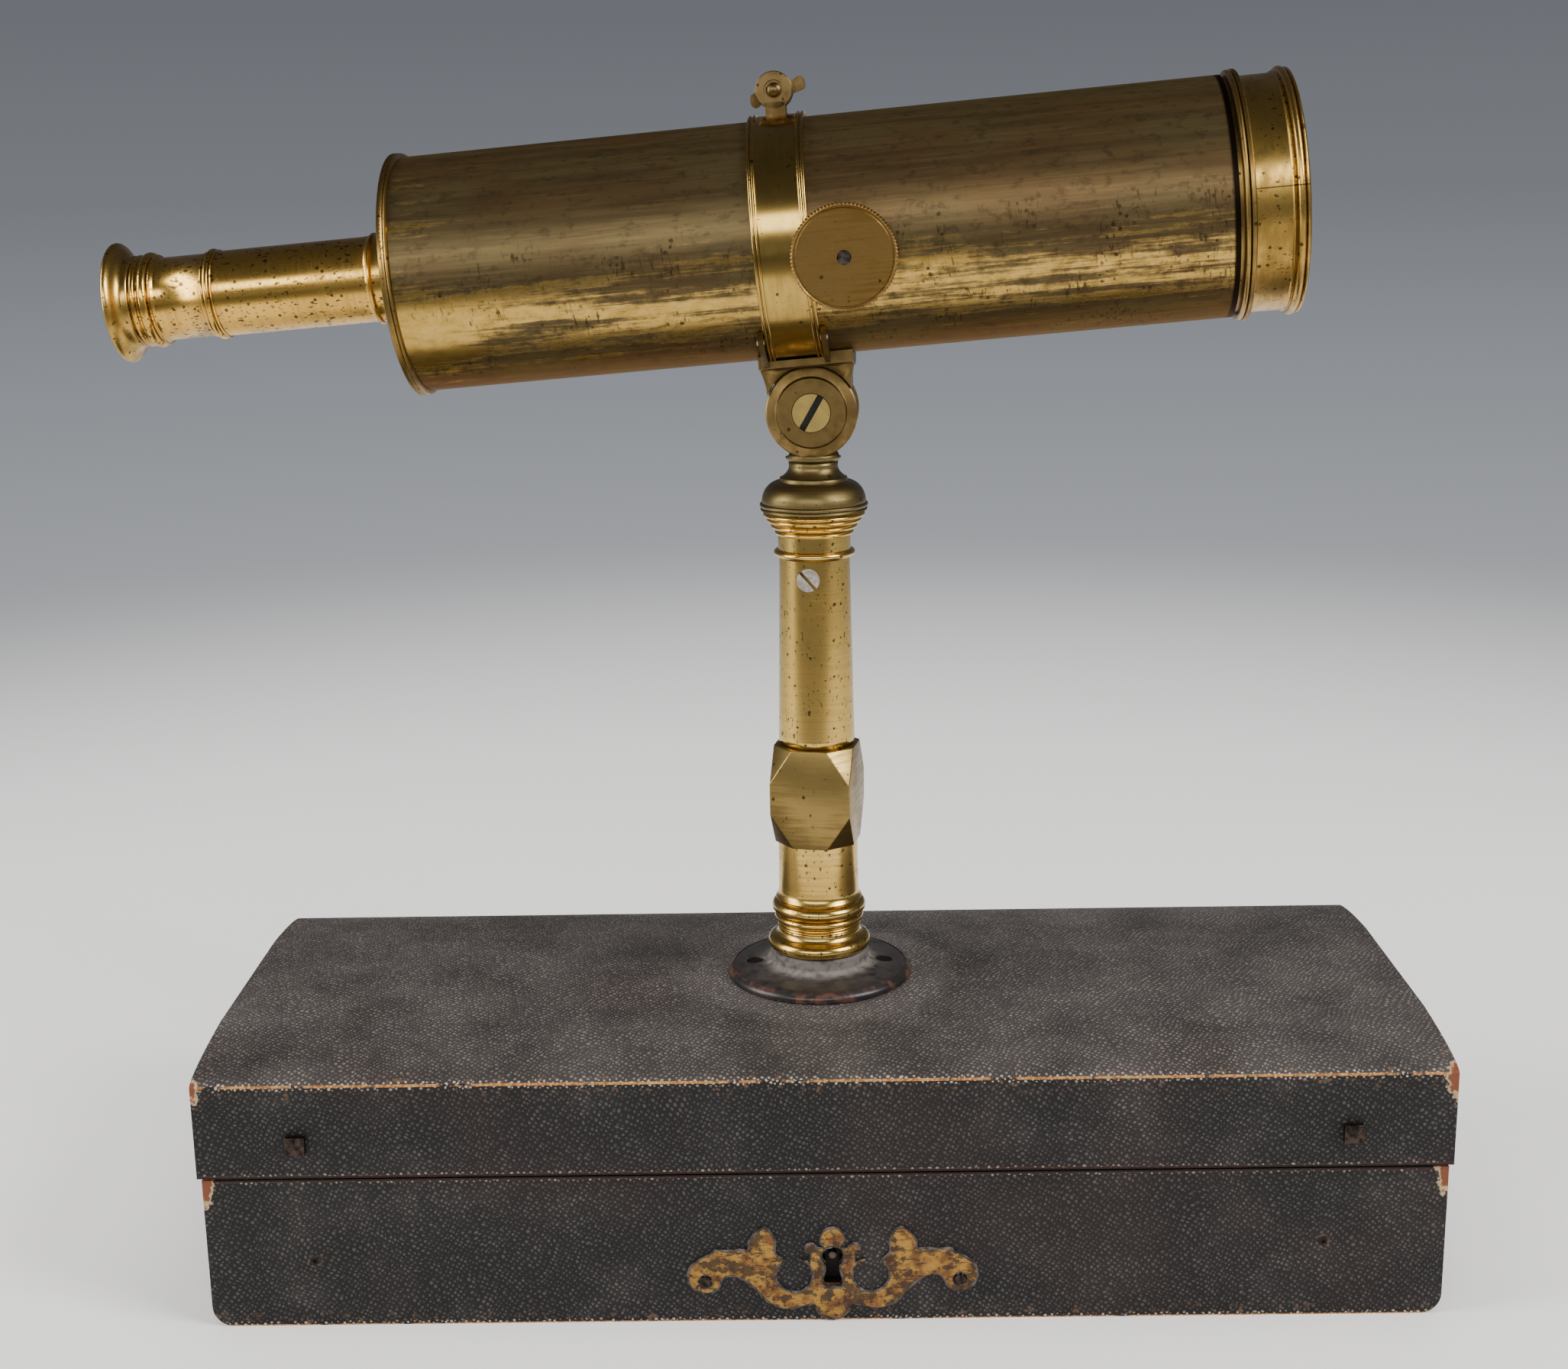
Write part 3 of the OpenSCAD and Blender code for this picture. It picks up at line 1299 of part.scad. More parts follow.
base_floor();
base_carcass();
base_covering();
base_lining();
cradles();
base_hinge_leaves();
base_hinge_screws();
hinge_pins();
lock_body();
key_pin();
lock_bolt();
escutcheon();
escutcheon_pins();
lid_carcass();
lid_covering();
lid_lining();
lid_hinge_leaves();
lid_hinge_screws();
lock_staple();
hook_stubs();
stand_flange();
flange_screws();
flange_bush();
pillar_foot();
pillar_grip();
pillar_shaft();
pillar_capital();
pillar_screw();
swivel_head();
joint_screw();
saddle();
clamp_band();
collar_pins();
clamp_thumbscrew();
barrel_tube();
back_plate();
primary_mirror();
mirror_spring();
mirror_ring();
eye_tube();
eye_coupling();
eye_collar();
eye_cup();
field_lens();
field_lens_ring();
eye_stop();
eye_lens();
mouth_ring();
cap_band();
cap_disc();
focus_knob();
focus_spindle();
focus_bush();
focus_pinion();
focus_slide();
slide_guides();
secondary_arm();
secondary_cell();
secondary_mirror();
cell_screws();
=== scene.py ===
# %% [markdown]
# # A Gregorian reflecting telescope on its fish-skin case
# This lesson dresses a solid model of a small brass telescope in its real surfaces. The frame holds
# every piece at its true size, so a new piece is made in the same place as the one it stands for.
# Lengths below are in metres, and `MM` turns a maker's millimetres into them.

# %% Load the frame
import json
import math

import bmesh
import bpy
from mathutils import Matrix, Vector


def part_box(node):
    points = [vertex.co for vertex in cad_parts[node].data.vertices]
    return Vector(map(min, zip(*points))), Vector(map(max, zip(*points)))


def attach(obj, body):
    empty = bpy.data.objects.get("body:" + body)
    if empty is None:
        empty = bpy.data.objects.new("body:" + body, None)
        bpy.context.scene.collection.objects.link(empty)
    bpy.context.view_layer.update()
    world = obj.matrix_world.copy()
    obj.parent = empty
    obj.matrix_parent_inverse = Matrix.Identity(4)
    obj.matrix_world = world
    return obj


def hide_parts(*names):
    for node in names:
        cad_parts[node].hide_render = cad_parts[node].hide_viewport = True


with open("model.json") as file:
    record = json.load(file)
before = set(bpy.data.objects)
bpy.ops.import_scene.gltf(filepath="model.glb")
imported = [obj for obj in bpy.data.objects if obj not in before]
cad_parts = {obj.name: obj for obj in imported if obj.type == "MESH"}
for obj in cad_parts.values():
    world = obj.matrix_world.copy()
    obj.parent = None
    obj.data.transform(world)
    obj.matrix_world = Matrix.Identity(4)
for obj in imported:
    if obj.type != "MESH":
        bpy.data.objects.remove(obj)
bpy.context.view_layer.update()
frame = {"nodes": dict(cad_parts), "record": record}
MM = 0.001
print("solid model:", len(frame["nodes"]), "pieces")

# %% [markdown]
# The telescope is tipped and turned on its stand, so most of its pieces are turned about an axis
# that lies along the barrel. The joints in the record say where the axes are. From them come three
# sets of directions: the barrel's, the compass joint's and the focusing knob's.

# %% Directions of the barrel, the joint and the knob
joints = {joint["name"]: joint for joint in frame["record"]["behaviour"]["joints"]}


def directions(x, y, z, origin):
    """A matrix that takes a piece's own X, Y and Z to these directions, from this origin."""
    turned_axes = Matrix((x, y, z)).transposed().to_4x4()
    return Matrix.Translation(origin) @ turned_axes


barrel_axis = Vector(joints["cap_pull"]["axis"]).normalized()
barrel_centre = Vector(joints["tube_turn"]["pos_m"])
joint_back = -Vector(joints["altitude"]["axis"]).normalized()
joint_centre = Vector(joints["altitude"]["pos_m"])
barrel_up = barrel_axis.cross(joint_back).normalized()
knob_axis = Vector(joints["focus_turn"]["axis"]).normalized()
knob_centre = Vector(joints["focus_turn"]["pos_m"])
ear_centre = Vector(joints["clamp_screw"]["pos_m"])

UPRIGHT = Matrix.Identity(4)
BARREL = directions(-barrel_up, joint_back, barrel_axis, barrel_centre)
BARREL_LEVEL = directions(barrel_axis, joint_back, barrel_up, barrel_centre)
joint_along = joint_back.cross(Vector((0, 0, 1))).normalized()
JOINT = directions(joint_along, Vector((0, 0, 1)), -joint_back, joint_centre)
KNOB = directions(barrel_axis, knob_axis.cross(barrel_axis), knob_axis, knob_centre)
EARS = directions(barrel_axis, barrel_up, -joint_back, ear_centre)
print("barrel axis", [round(v, 3) for v in barrel_axis])

# %% [markdown]
# Colours are written as a painter's hex codes. Blender works with light, so one function turns
# each code into linear values. Another small function adds a node with its settings and links. It
# takes the values for the node's sockets in their order, and gives back the node's first output,
# so that a finish reads as a list of what it is made of.

# %% Colours and nodes
def colour(code):
    """Linear RGBA from an sRGB hex code."""
    channels = [int(code[i : i + 2], 16) / 255 for i in (1, 3, 5)]
    linear = [c / 12.92 if c <= 0.04045 else ((c + 0.055) / 1.055) ** 2.4 for c in channels]
    return (*linear, 1)


def feed(tree, socket, value):
    """Links a value to a socket, or sets it there. None leaves the socket as it is."""
    if isinstance(value, bpy.types.NodeSocket):
        tree.links.new(value, socket)
    elif value is not None:
        socket.default_value = value


def add(tree, kind, *values, **settings):
    """Adds a node, sets it up, feeds the sockets in use in their order, and gives an output."""
    made = tree.nodes.new("ShaderNode" + kind)
    for name, value in settings.items():
        setattr(made, name, value)
    in_use = [socket for socket in made.inputs if socket.enabled]
    for socket, value in zip(in_use, values):
        feed(tree, socket, value)
    return next(socket for socket in made.outputs if socket.enabled)


print("brass yellow in linear light:", [round(level, 3) for level in colour("#d3b163")])

# %% [markdown]
# Every finish is built on a new material and ends at its shader. Between the two, worn surfaces are
# tones laid over each other like thin paint. A layer's share is an amount: the product of a few
# factors, of which one may be a pattern with the two values between which it comes in smoothly.

# %% Materials and layers
def new_material(name):
    """A material with a shader of its own, and the node tree to build on."""
    material = bpy.data.materials.new(name)
    material.use_nodes = True
    return material, material.node_tree


def shade(material, sockets):
    """Feeds the sockets of a material's shader by name, and gives the material."""
    tree = material.node_tree
    for name, value in sockets.items():
        feed(tree, tree.nodes["Principled BSDF"].inputs[name], value)
    return material


def amount(tree, *factors):
    """The product of factors. One that is a tuple is a pattern, and where it begins and is full."""
    product = None
    for factor in factors:
        if isinstance(factor, tuple):
            factor = add(tree, "MapRange", *factor, interpolation_type="SMOOTHSTEP")
        if product is not None:
            factor = add(tree, "Math", product, factor, operation="MULTIPLY")
        product = factor
    return product


def layered(tree, tone, *layers):
    """Lays tones over a first one. A layer is the factors of its share, and then its own tone.

    A tone is a hex code or a socket.
    """
    for *factors, over in layers:
        both = [colour(each) if isinstance(each, str) else each for each in (tone, over)]
        tone = add(tree, "Mix", amount(tree, *factors), *both, data_type="RGBA")
    return tone


glass = shade(new_material("lens glass")[0], {
    "Base Color": colour("#eef5f2"),
    "Roughness": 0.03,
    "Transmission Weight": 1.0,
})
print("first finish:", glass.name)

# %% [markdown]
# Wear follows the piece, so patterns are laid in the piece's own directions. A pattern's scale is
# one over the size of its features. Specks come from the cells of a Voronoi pattern: a lot drawn
# for each cell says whether it holds a speck and how large that speck is.

# %% Patterns in a piece's own directions
def place(tree, matrix, stretch=(1, 1, 1)):
    """Object coordinates in a piece's own directions, stretched along each."""
    coordinates = add(tree, "TexCoord").node.outputs["Object"]
    back = matrix.inverted()
    own = add(tree, "Mapping", coordinates, back.to_translation(), back.to_euler())
    return add(tree, "Mapping", own, None, None, stretch)


def from_mark(tree, coordinate, mark):
    """How far a coordinate is from a mark, on either side of it."""
    beyond = add(tree, "Math", coordinate, mark, operation="SUBTRACT")
    return add(tree, "Math", beyond, operation="ABSOLUTE")


def from_middle(tree, parts):
    """How far a point is from the upright line through the origin."""
    level = add(tree, "CombineXYZ", parts[0], parts[1])
    return add(tree, "VectorMath", level, operation="LENGTH")


def ramp(tree, value, stops):
    """Follows a value through stops, each a place with a colour or a grey level."""
    low, high = stops[0][0], stops[-1][0]
    made = add(tree, "ValToRGB", add(tree, "MapRange", value, low, high)).node
    elements = made.color_ramp.elements
    tones = [tone if isinstance(tone, tuple) else (tone, tone, tone, 1) for _, tone in stops]
    elements[0].color, elements[1].color = tones[0], tones[-1]
    for (stop, _), tone in zip(stops[1:-1], tones[1:-1]):
        elements.new((stop - low) / (high - low)).color = tone
    return made.outputs[0]


def specks(tree, vector, pitch, size, share):
    """Ragged round specks of this size on a loose grid, with this share of its places filled."""
    cells = add(tree, "TexVoronoi", vector, 1 / pitch).node.outputs
    lot = add(tree, "SeparateColor", cells["Color"]).node.outputs
    chosen = add(tree, "Math", lot[0], share, operation="LESS_THAN")
    reach = size / pitch
    own_size = add(tree, "Math", lot[1], 0.55 * reach, -0.15 * reach, operation="MULTIPLY_ADD")
    frayed = add(tree, "TexNoise", vector, 1 / (0.5 * size), 3.0, 0.55)
    ragged = add(tree, "Math", frayed, 0.9 * reach, own_size, operation="MULTIPLY_ADD")
    inside = add(tree, "Math", ragged, cells["Distance"], operation="SUBTRACT")
    return amount(tree, (inside, 0.0, 0.2 * reach), chosen)


print("a pattern with features of 4 mm has the scale", round(1 / (4 * MM)))

# %% [markdown]
# Old brass is a yellow alloy of copper and zinc. Where hands and cloths rub it, it stays gold;
# elsewhere it darkens to a brown skin with darker freckles. The wear on the barrel runs lengthwise,
# because the barrel is wiped that way, and the wear on turned pieces runs round them, because the
# lathe left fine rings. One function makes both, from the directions of the piece.

# %% Brass
OLD_DIRT = "#2b2013"
FRECKLE_PITCH = 2.2 * MM


def brass(name, clean, skin, matrix, stretch, cover, rough=(0.24, 0.42), spots=0.35, soft=0.12):
    """Brass with a brown skin over the share cover of it, and spots over the share spots."""
    material, tree = new_material(name)
    whole = place(tree, matrix)
    streaks = add(tree, "TexNoise", place(tree, matrix, stretch), 1 / (4 * MM), 8.0, 0.62)
    clouds = add(tree, "TexNoise", whole, 1 / (16 * MM), 3.0, 0.5)
    worn = add(tree, "Math", clouds, 0.5, amount(tree, streaks, 0.5), operation="MULTIPLY_ADD")
    edge = 0.65 - 0.3 * cover
    skin_left = amount(tree, (worn, edge - soft, edge + soft))
    field = add(tree, "TexNoise", whole, 1 / (9 * MM), 2.0, 0.5)
    pits = add(tree, "TexNoise", place(tree, matrix, (1, 1, 0.5)), 1 / (0.9 * MM), 4.0, 0.65)
    pits = add(tree, "Math", field, 0.2 * spots, pits, operation="MULTIPLY_ADD")
    freckles = specks(tree, whole, FRECKLE_PITCH, 0.8 * MM, spots)
    dark = add(tree, "Math", freckles, amount(tree, (pits, 0.665, 0.7)), operation="MAXIMUM")
    dullness = add(tree, "Math", skin_left, dark, operation="MAXIMUM")
    relief = add(tree, "Math", dark, -0.6, streaks, operation="MULTIPLY_ADD")
    return shade(material, {
        "Base Color": layered(tree, clean, (skin_left, skin), (dark, 0.85, OLD_DIRT)),
        "Metallic": 1.0,
        "Roughness": amount(tree, (dullness, 0.0, 1.0, *rough)),
        "Normal": add(tree, "Bump", 0.5, 0.02 * MM, None, relief),
    })


print("freckles every", round(FRECKLE_PITCH / MM, 1), "mm")

# %% [markdown]
# No two parts of the telescope have the same brass. The turned ones were lacquered and stayed
# bright, the clamp shines from handling, and the joint is dull with dust and old oil. `RINGS` and
# `ALONG` stretch the pattern round a piece, like a lathe's marks, or along it; `EVEN` doesn't.

# %% The brasses
RINGS = (0.12, 0.12, 5)
ALONG = (0.3, 0.3, 2)
EVEN = (1, 1, 1)
turned_brass = brass(
    "lacquered brass, turned", "#d3b163", "#b8954c", UPRIGHT, RINGS, 0.4, (0.2, 0.28), 0.5, 0.2
)
eye_brass = brass(
    "lacquered brass, eyepiece", "#d2a853", "#ab8440", BARREL, RINGS, 0.4, (0.2, 0.3), 0.75, 0.2
)
rim_brass = brass(
    "old brass, milled rims", "#a58446", "#6b5730", BARREL, RINGS, 0.5, (0.28, 0.42), 0.3
)
clamp_brass = brass(
    "satin brass, clamp", "#b4954f", "#977b3f", BARREL, ALONG, 0.45, (0.17, 0.24), 0.1
)
thumb_brass = brass(
    "dull brass, thumbscrew", "#75603c", "#544327", EARS, EVEN, 0.5, (0.32, 0.45), 0.1
)
joint_brass = brass(
    "dull brass, compass joint", "#80693f", "#5e4c2b", JOINT, EVEN, 0.5, (0.36, 0.48), 0.12
)
head_brass = brass(
    "dusty brass, swivel head", "#7c6c45", "#5f5133", UPRIGHT, RINGS, 0.5, (0.36, 0.48), 0.12
)
screw_brass = brass(
    "bright brass, screw head", "#d2b56c", "#b89a54", JOINT, EVEN, 0.4, (0.3, 0.4), 0.05
)
knob_brass = brass(
    "old brass, knob", "#9c7d47", "#74592d", KNOB, (0.15, 4, 1), 0.55, (0.32, 0.44), 0.1
)
grip_brass = brass(
    "filed brass, block", "#967e49", "#756137", UPRIGHT, (0.3, 0.3, 4), 0.45, (0.3, 0.42), 0.1
)
print("brasses ready:", len(bpy.data.materials) - 1)

# %% [markdown]
# The dust cap is made of a band and a disc, soft-soldered together. The joint shows as a dark line
# round the side of the band, so the band's finish gets one more layer.

# %% The dust cap's brass
SOLDER_HEIGHT = 2.2 * MM
cap_finish = ("#c09c52", "#8a6d35", BARREL, (0.5, 0.5, 1.5), 0.5, (0.24, 0.36), 0.4)
cap_brass = brass("old brass, cap", *cap_finish)


def soldered(material, height):
    """Adds a soldered joint's dark line, at this height on the near side of the barrel."""
    tree = material.node_tree
    tone = tree.nodes["Principled BSDF"].inputs["Base Color"].links[0].from_socket
    own = add(tree, "SeparateXYZ", place(tree, BARREL_LEVEL)).node.outputs
    away = from_mark(tree, own[2], height)
    near_side = add(tree, "Math", own[1], 0.0, operation="LESS_THAN")
    line = ((away, 0.26 * MM, 0.12 * MM, 0.0, 0.8), near_side, OLD_DIRT)
    return shade(material, {"Base Color": layered(tree, tone, line)})


band_brass = soldered(brass("old brass, cap band", *cap_finish), SOLDER_HEIGHT)
print("solder line at", round(SOLDER_HEIGHT / MM, 1), "mm above the cap's middle")

# %% [markdown]
# The barrel has the oldest skin. Its upper half is an even brown, and below the middle cloths have
# worn long gold streaks through it. These bands by height are also a painted reflection: the brown
# top stands for the dark room seen in it, and the gold band below the middle for the pale floor. At
# the eyepiece end, where hands hold it, more gold shows. So the barrel's finish is the same brass,
# with a skin that depends on the height inside the barrel's own directions. The levels give the
# share of skin at heights in millimetres, and what the end loses there.

# %% The barrel's brass
# Brown top and gold band below the middle: skin wear, and partly a painted reflection of the dark
# room above and the pale floor below.
SKIN_AND_REFLECTION_LEVELS = [(-33, 0.8), (-27, 0.8), (-22, 0.54), (-14, 0.44), (-9, 0.58), (-3, 0.66)]
SKIN_AND_REFLECTION_LEVELS += [(3, 0.85), (33, 1.0)]
END_WEAR = [(-30, 0.0), (-24, 0.25), (-12, 0.28), (-7, 0.12), (5, 0.08), (12, 0.3), (33, 0.3)]
SCRIBED_RING = -109.6 * MM
BARREL_PATTERNS = [
    ((0.06, 1, 1), 3 * MM, 8.0, 0.66),
    ((0.03, 1, 1), 0.7 * MM, 4.0, 0.6),
    ((0.6, 1, 1), 2.4 * MM, 5.0, 0.7),
    ((0.5, 1, 1), 24 * MM, 2.0, 0.5),
    ((1, 0.25, 0.25), 1.0 * MM, 5.0, 0.7),
]


def skin_with_painted_reflection(tree, along, height, rubbed, clouds):
    """Share of the brown skin that is left, from the height and how much a place is rubbed. Its
    bands by height are partly a painted reflection.
    """
    height = add(tree, "Math", height, 7 * MM, operation="SUBTRACT")
    wavy_height = add(tree, "Math", clouds, 14 * MM, height, operation="MULTIPLY_ADD")
    cover, end_wear = [
        ramp(tree, wavy_height, [(mark * MM, level) for mark, level in levels])
        for levels in (SKIN_AND_REFLECTION_LEVELS, END_WEAR)
    ]
    end_wear = amount(tree, (along, -104 * MM, -78 * MM, 1.0, 0.0), end_wear)
    cover = add(tree, "Math", cover, end_wear, operation="SUBTRACT")
    together = add(tree, "Math", rubbed, cover, operation="ADD")
    return amount(tree, (together, 1.37, 1.62))


def marks_on_barrel(tree, own, parts, marks, hairs):
    """Dark scratches and specks below the middle, and a scribed ring filled with dirt."""
    freckles = specks(tree, own, 1.9 * MM, 0.9 * MM, 0.4)
    dark = add(tree, "Math", amount(tree, (marks, 0.56, 0.63)), freckles, operation="MAXIMUM")
    field = add(tree, "TexNoise", own, 1 / (12 * MM), 2.0, 0.5)
    dark = amount(tree, dark, (field, 0.46, 0.62), (parts[2], 9 * MM, 3 * MM))
    from_ring = from_mark(tree, parts[0], SCRIBED_RING)
    ring = amount(tree, (from_ring, 0.22 * MM, 0.08 * MM), (hairs, 0.4, 0.6))
    return add(tree, "Math", dark, ring, operation="MAXIMUM")


print("skin left low down", SKIN_AND_REFLECTION_LEVELS[0][1], "and at the top", SKIN_AND_REFLECTION_LEVELS[-1][1])

# %% [markdown]
# The skin itself isn't one brown. Broad clouds, dark streaks, paler hairlines and a dark mottle lie
# over each other. Where the skin is gone the gold is clean and shiny, and elsewhere it is dull.

# %% The barrel's finish
def barrel_finish(name):
    """Brown above, mottled at the middle, and streaked with gold lower down, partly as a painted
    reflection, with a painted shadow in the gap at the mouth.
    """
    material, tree = new_material(name)
    own = place(tree, BARREL_LEVEL)
    parts = add(tree, "SeparateXYZ", own).node.outputs
    streaks, hairs, mottle, clouds, marks = [
        add(tree, "TexNoise", place(tree, BARREL_LEVEL, stretch), 1 / size, detail, rough)
        for stretch, size, detail, rough in BARREL_PATTERNS
    ]
    rubbed = amount(tree, streaks, 1.1)
    for pattern, weight in ((hairs, 0.5), (mottle, 0.35)):
        rubbed = add(tree, "Math", pattern, weight, rubbed, operation="MULTIPLY_ADD")
    skin_left = skin_with_painted_reflection(tree, parts[0], parts[2], rubbed, clouds)
    skin = layered(
        tree,
        "#5f5236",
        ((clouds, 0.4, 0.65), "#5e4b31"),
        ((streaks, 0.38, 0.66, 0.0, 0.42), "#332a1d"),
        ((hairs, 0.5, 0.7, 0.0, 0.3), "#7a6543"),
        ((mottle, 0.52, 0.66, 0.0, 0.5), "#3a3022"),
    )
    gold = layered(tree, "#bd9c55", ((mottle, 0.35, 0.7), "#a3843f"))
    dark = marks_on_barrel(tree, own, parts, marks, hairs)
    # Painted shadow: a near-black line in the gap between the barrel and the mouth ring.
    mouth_gap_shadow = amount(tree, (parts[0], 117.0 * MM, 117.9 * MM))
    tone = layered(tree, gold, (skin_left, skin), (dark, 0.8, "#2c2114"), (mouth_gap_shadow, "#0f0b07"))
    dullness = add(tree, "Math", dark, mouth_gap_shadow, operation="MAXIMUM")
    dullness = add(tree, "Math", skin_left, dullness, operation="MAXIMUM")
    return shade(material, {
        "Base Color": tone,
        "Metallic": amount(tree, (dullness, 0.0, 1.0, 1.0, 0.82)),
        "Roughness": amount(tree, (dullness, 0.0, 1.0, 0.22, 0.4)),
        "Specular Tint": colour("#c2a676"),
        "Normal": add(tree, "Bump", 0.4, 0.02 * MM, None, rubbed),
    })


barrel_brass = barrel_finish("old brass, wiped barrel")
print("barrel's finish:", len(barrel_brass.node_tree.nodes), "nodes")

# %% [markdown]
# Shagreen is the skin of a ray or shark, ground flat and dyed black. Its round scales are hard, so
# they take the dye badly and show as pale dots about 1.4 mm apart, in slanting rows. Cells of a
# flat Voronoi pattern give one dot each, laid on every face by the face's own direction.

# %% Scales
SCALE_PITCH = 1.35 * MM


def flat_on_faces(tree, parts):
    """Flat coordinates for a box's faces, and whether a point is on its top or bottom."""
    facing = add(tree, "TexCoord").node.outputs["Normal"]
    turned = add(tree, "SeparateXYZ", facing).node.outputs
    flat = []
    for axis in (0, 2):
        along_axis = add(tree, "Math", turned[axis], operation="ABSOLUTE")
        on_face = add(tree, "Math", along_axis, 0.7, operation="GREATER_THAN")
        swap = add(tree, "Math", parts[1], parts[axis], operation="SUBTRACT")
        flat.append(add(tree, "Math", swap, on_face, parts[axis], operation="MULTIPLY_ADD"))
    return add(tree, "CombineXYZ", *flat), on_face


def scales(tree, flat):
    """How much of a pale scale is here, and how pale each scale is."""
    drift = add(tree, "TexNoise", flat, 1 / (14 * MM), 1.0).node.outputs["Color"]
    pushed = add(tree, "VectorMath", drift, (5 * MM, 5 * MM, 0), flat, operation="MULTIPLY_ADD")
    slant = add(tree, "Mapping", pushed, None, (0, 0, math.radians(33)))
    loose = (None, None, None, 0.4)
    cells = add(tree, "TexVoronoi", slant, 1 / SCALE_PITCH, *loose, voronoi_dimensions="2D")
    cells = cells.node.outputs
    lot = add(tree, "SeparateColor", cells["Color"]).node.outputs
    radius = add(tree, "Math", lot[0], 0.16, 0.16, operation="MULTIPLY_ADD")
    inside = add(tree, "Math", radius, cells["Distance"], operation="SUBTRACT")
    return amount(tree, (inside, -0.08, 0.08)), amount(tree, (lot[1], 0.0, 1.0, 0.35, 1.0))


print("scales every", round(SCALE_PITCH / MM, 2), "mm")

# %% [markdown]
# The dye is black where it held and red-brown in patches. Dust lies on the lid, most of it in a
# halo round the flange, where a cloth doesn't reach. The whole top is also made paler, a painted
# sheen of grazing light. Both make the ground and the scales paler.

# %% Dyed skin
HALO_FROM = 27 * MM
HALO_TO = 44 * MM


def dyed_skin(tree, whole, parts, ragged):
    """Black skin with its pale scales, dusty and with a painted sheen on top. Gives its tone and
    the scales' dots.
    """
    flat, on_top = flat_on_faces(tree, parts)
    dot, paleness = scales(tree, flat)
    patches = add(tree, "TexNoise", whole, 1 / (24 * MM), 4.0, 0.6)
    reds = add(tree, "TexNoise", whole, 1 / (60 * MM), 2.0, 0.5)
    near_flange = (from_middle(tree, parts), HALO_TO, HALO_FROM, 0.0, 0.7)
    halo = amount(tree, near_flange, (ragged, 0.3, 0.6))
    # Painted sheen: every top face is made paler, and the dusty halo round the flange lies on top
    # of that.
    top_dust_and_sheen = amount(tree, on_top, add(tree, "Math", halo, 0.3, operation="ADD"))
    dust = add(tree, "Math", patches, 0.6, top_dust_and_sheen, operation="MULTIPLY_ADD")
    dust_and_sheen = (dust, 0.25, 0.82)
    ground = layered(tree, "#110f0e", (dust_and_sheen, "#45403d"), ((reds, 0.5, 0.7, 0.0, 0.3), "#2e1c19"))
    pale = layered(tree, "#403c39", (dust_and_sheen, "#807973"))
    return layered(tree, ground, (dot, paleness, pale)), dot


print("halo of dust fades out", round(HALO_TO / MM), "mm from the pillar's middle")

# %% [markdown]
# The skin is glued over thin wood. It has cracked to an orange line along the lid's top edge, with
# a row of bare white scales above it. It is dark red at the seam, with a black line of painted
# shadow in the seam's gap. At the corners it has rubbed through to the wood. Two hooks once held
# the lid at the front. Their eyes are gone from the lower half, and each has left a hole, painted
# dark for the shade inside it, with a brown, rubbed rim.

# %% Wear of the skin
def worn_edges(tree, skin, whole, dot, ragged, grain, from_edge, from_seam):
    """Bare scales, a rubbed band and a crack at the edge, and a dark red line at the seam with a
    painted shadow line in its gap.
    """
    near = add(tree, "Math", from_edge, from_seam, operation="MINIMUM")
    broken = add(tree, "TexNoise", whole, 1 / (9 * MM), 5.0, 0.6)
    bare = layered(tree, "#8a4f1f", ((grain, 0.35, 0.65), "#b98f52"))
    return layered(
        tree,
        skin,
        ((near, 1.5 * MM, 0.7 * MM), dot, (ragged, 0.4, 0.5), 0.8, "#b5aa9a"),
        ((from_edge, 6 * MM, 1 * MM), (ragged, 0.56, 0.66), 0.5, "#74563c"),
        ((from_edge, 0.42 * MM, 0.26 * MM), (broken, 0.36, 0.46), bare),
        ((from_seam, 1.1 * MM, 0.6 * MM), 0.8, "#43231a"),
        # Painted shadow: the black line in the gap between lid and base.
        ((from_seam, 0.65 * MM, 0.4 * MM), "#0c0908"),
    )


def worn_corners(tree, skin, whole, ragged, sides, below_corner):
    """Wood that shows at the corners, with a pale rim. Gives the tone and the rim."""
    corner = add(tree, "CombineXYZ", *sides, amount(tree, below_corner, 0.4))
    from_corner = add(tree, "VectorMath", corner, operation="LENGTH")
    chosen = add(tree, "TexNoise", whole, 1 / (90 * MM), 1.0, 0.5)
    reach = amount(tree, ragged, chosen, 10 * MM)
    inside = add(tree, "Math", reach, from_corner, operation="SUBTRACT")
    rim = amount(tree, (inside, -0.5 * MM, 0.0))
    return layered(tree, skin, (rim, "#b09a76"), ((inside, 0.0, 0.7 * MM), "#6f3d24")), rim


def worn_hole(tree, skin, whole, ragged, grain, hole):
    """The hole of a lost hook eye, painted dark for its shade, in a rubbed rim."""
    away = add(tree, "VectorMath", whole, hole, operation="DISTANCE")
    away = add(tree, "Math", ragged, 3 * MM, away, operation="MULTIPLY_ADD")
    rim = ((away, 3.9 * MM, 3.3 * MM), (grain, 0.45, 0.6), 0.7, "#5c4430")
    # Painted shade: the hole is only coloured black and has no depth.
    return layered(tree, skin, rim, ((away, 3.1 * MM, 2.8 * MM), "#070505"))


case_low, case_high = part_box("base_covering")
lid_low, lid_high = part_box("lid_covering")
print("seam between", round(case_high.z / MM, 1), "and", round(lid_low.z / MM, 1), "mm")

# %% [markdown]
# Both halves of the case get the same skin. They differ only in the heights of their edge, seam and
# worn corners, and the lower half has the two holes.

# %% Fish skin
LID_EDGE_HEIGHT = 27.3 * MM
HOOK_EYE_HOLES = [(-143.8 * MM, case_low.y, 20 * MM), (140 * MM, case_low.y, 22.6 * MM)]


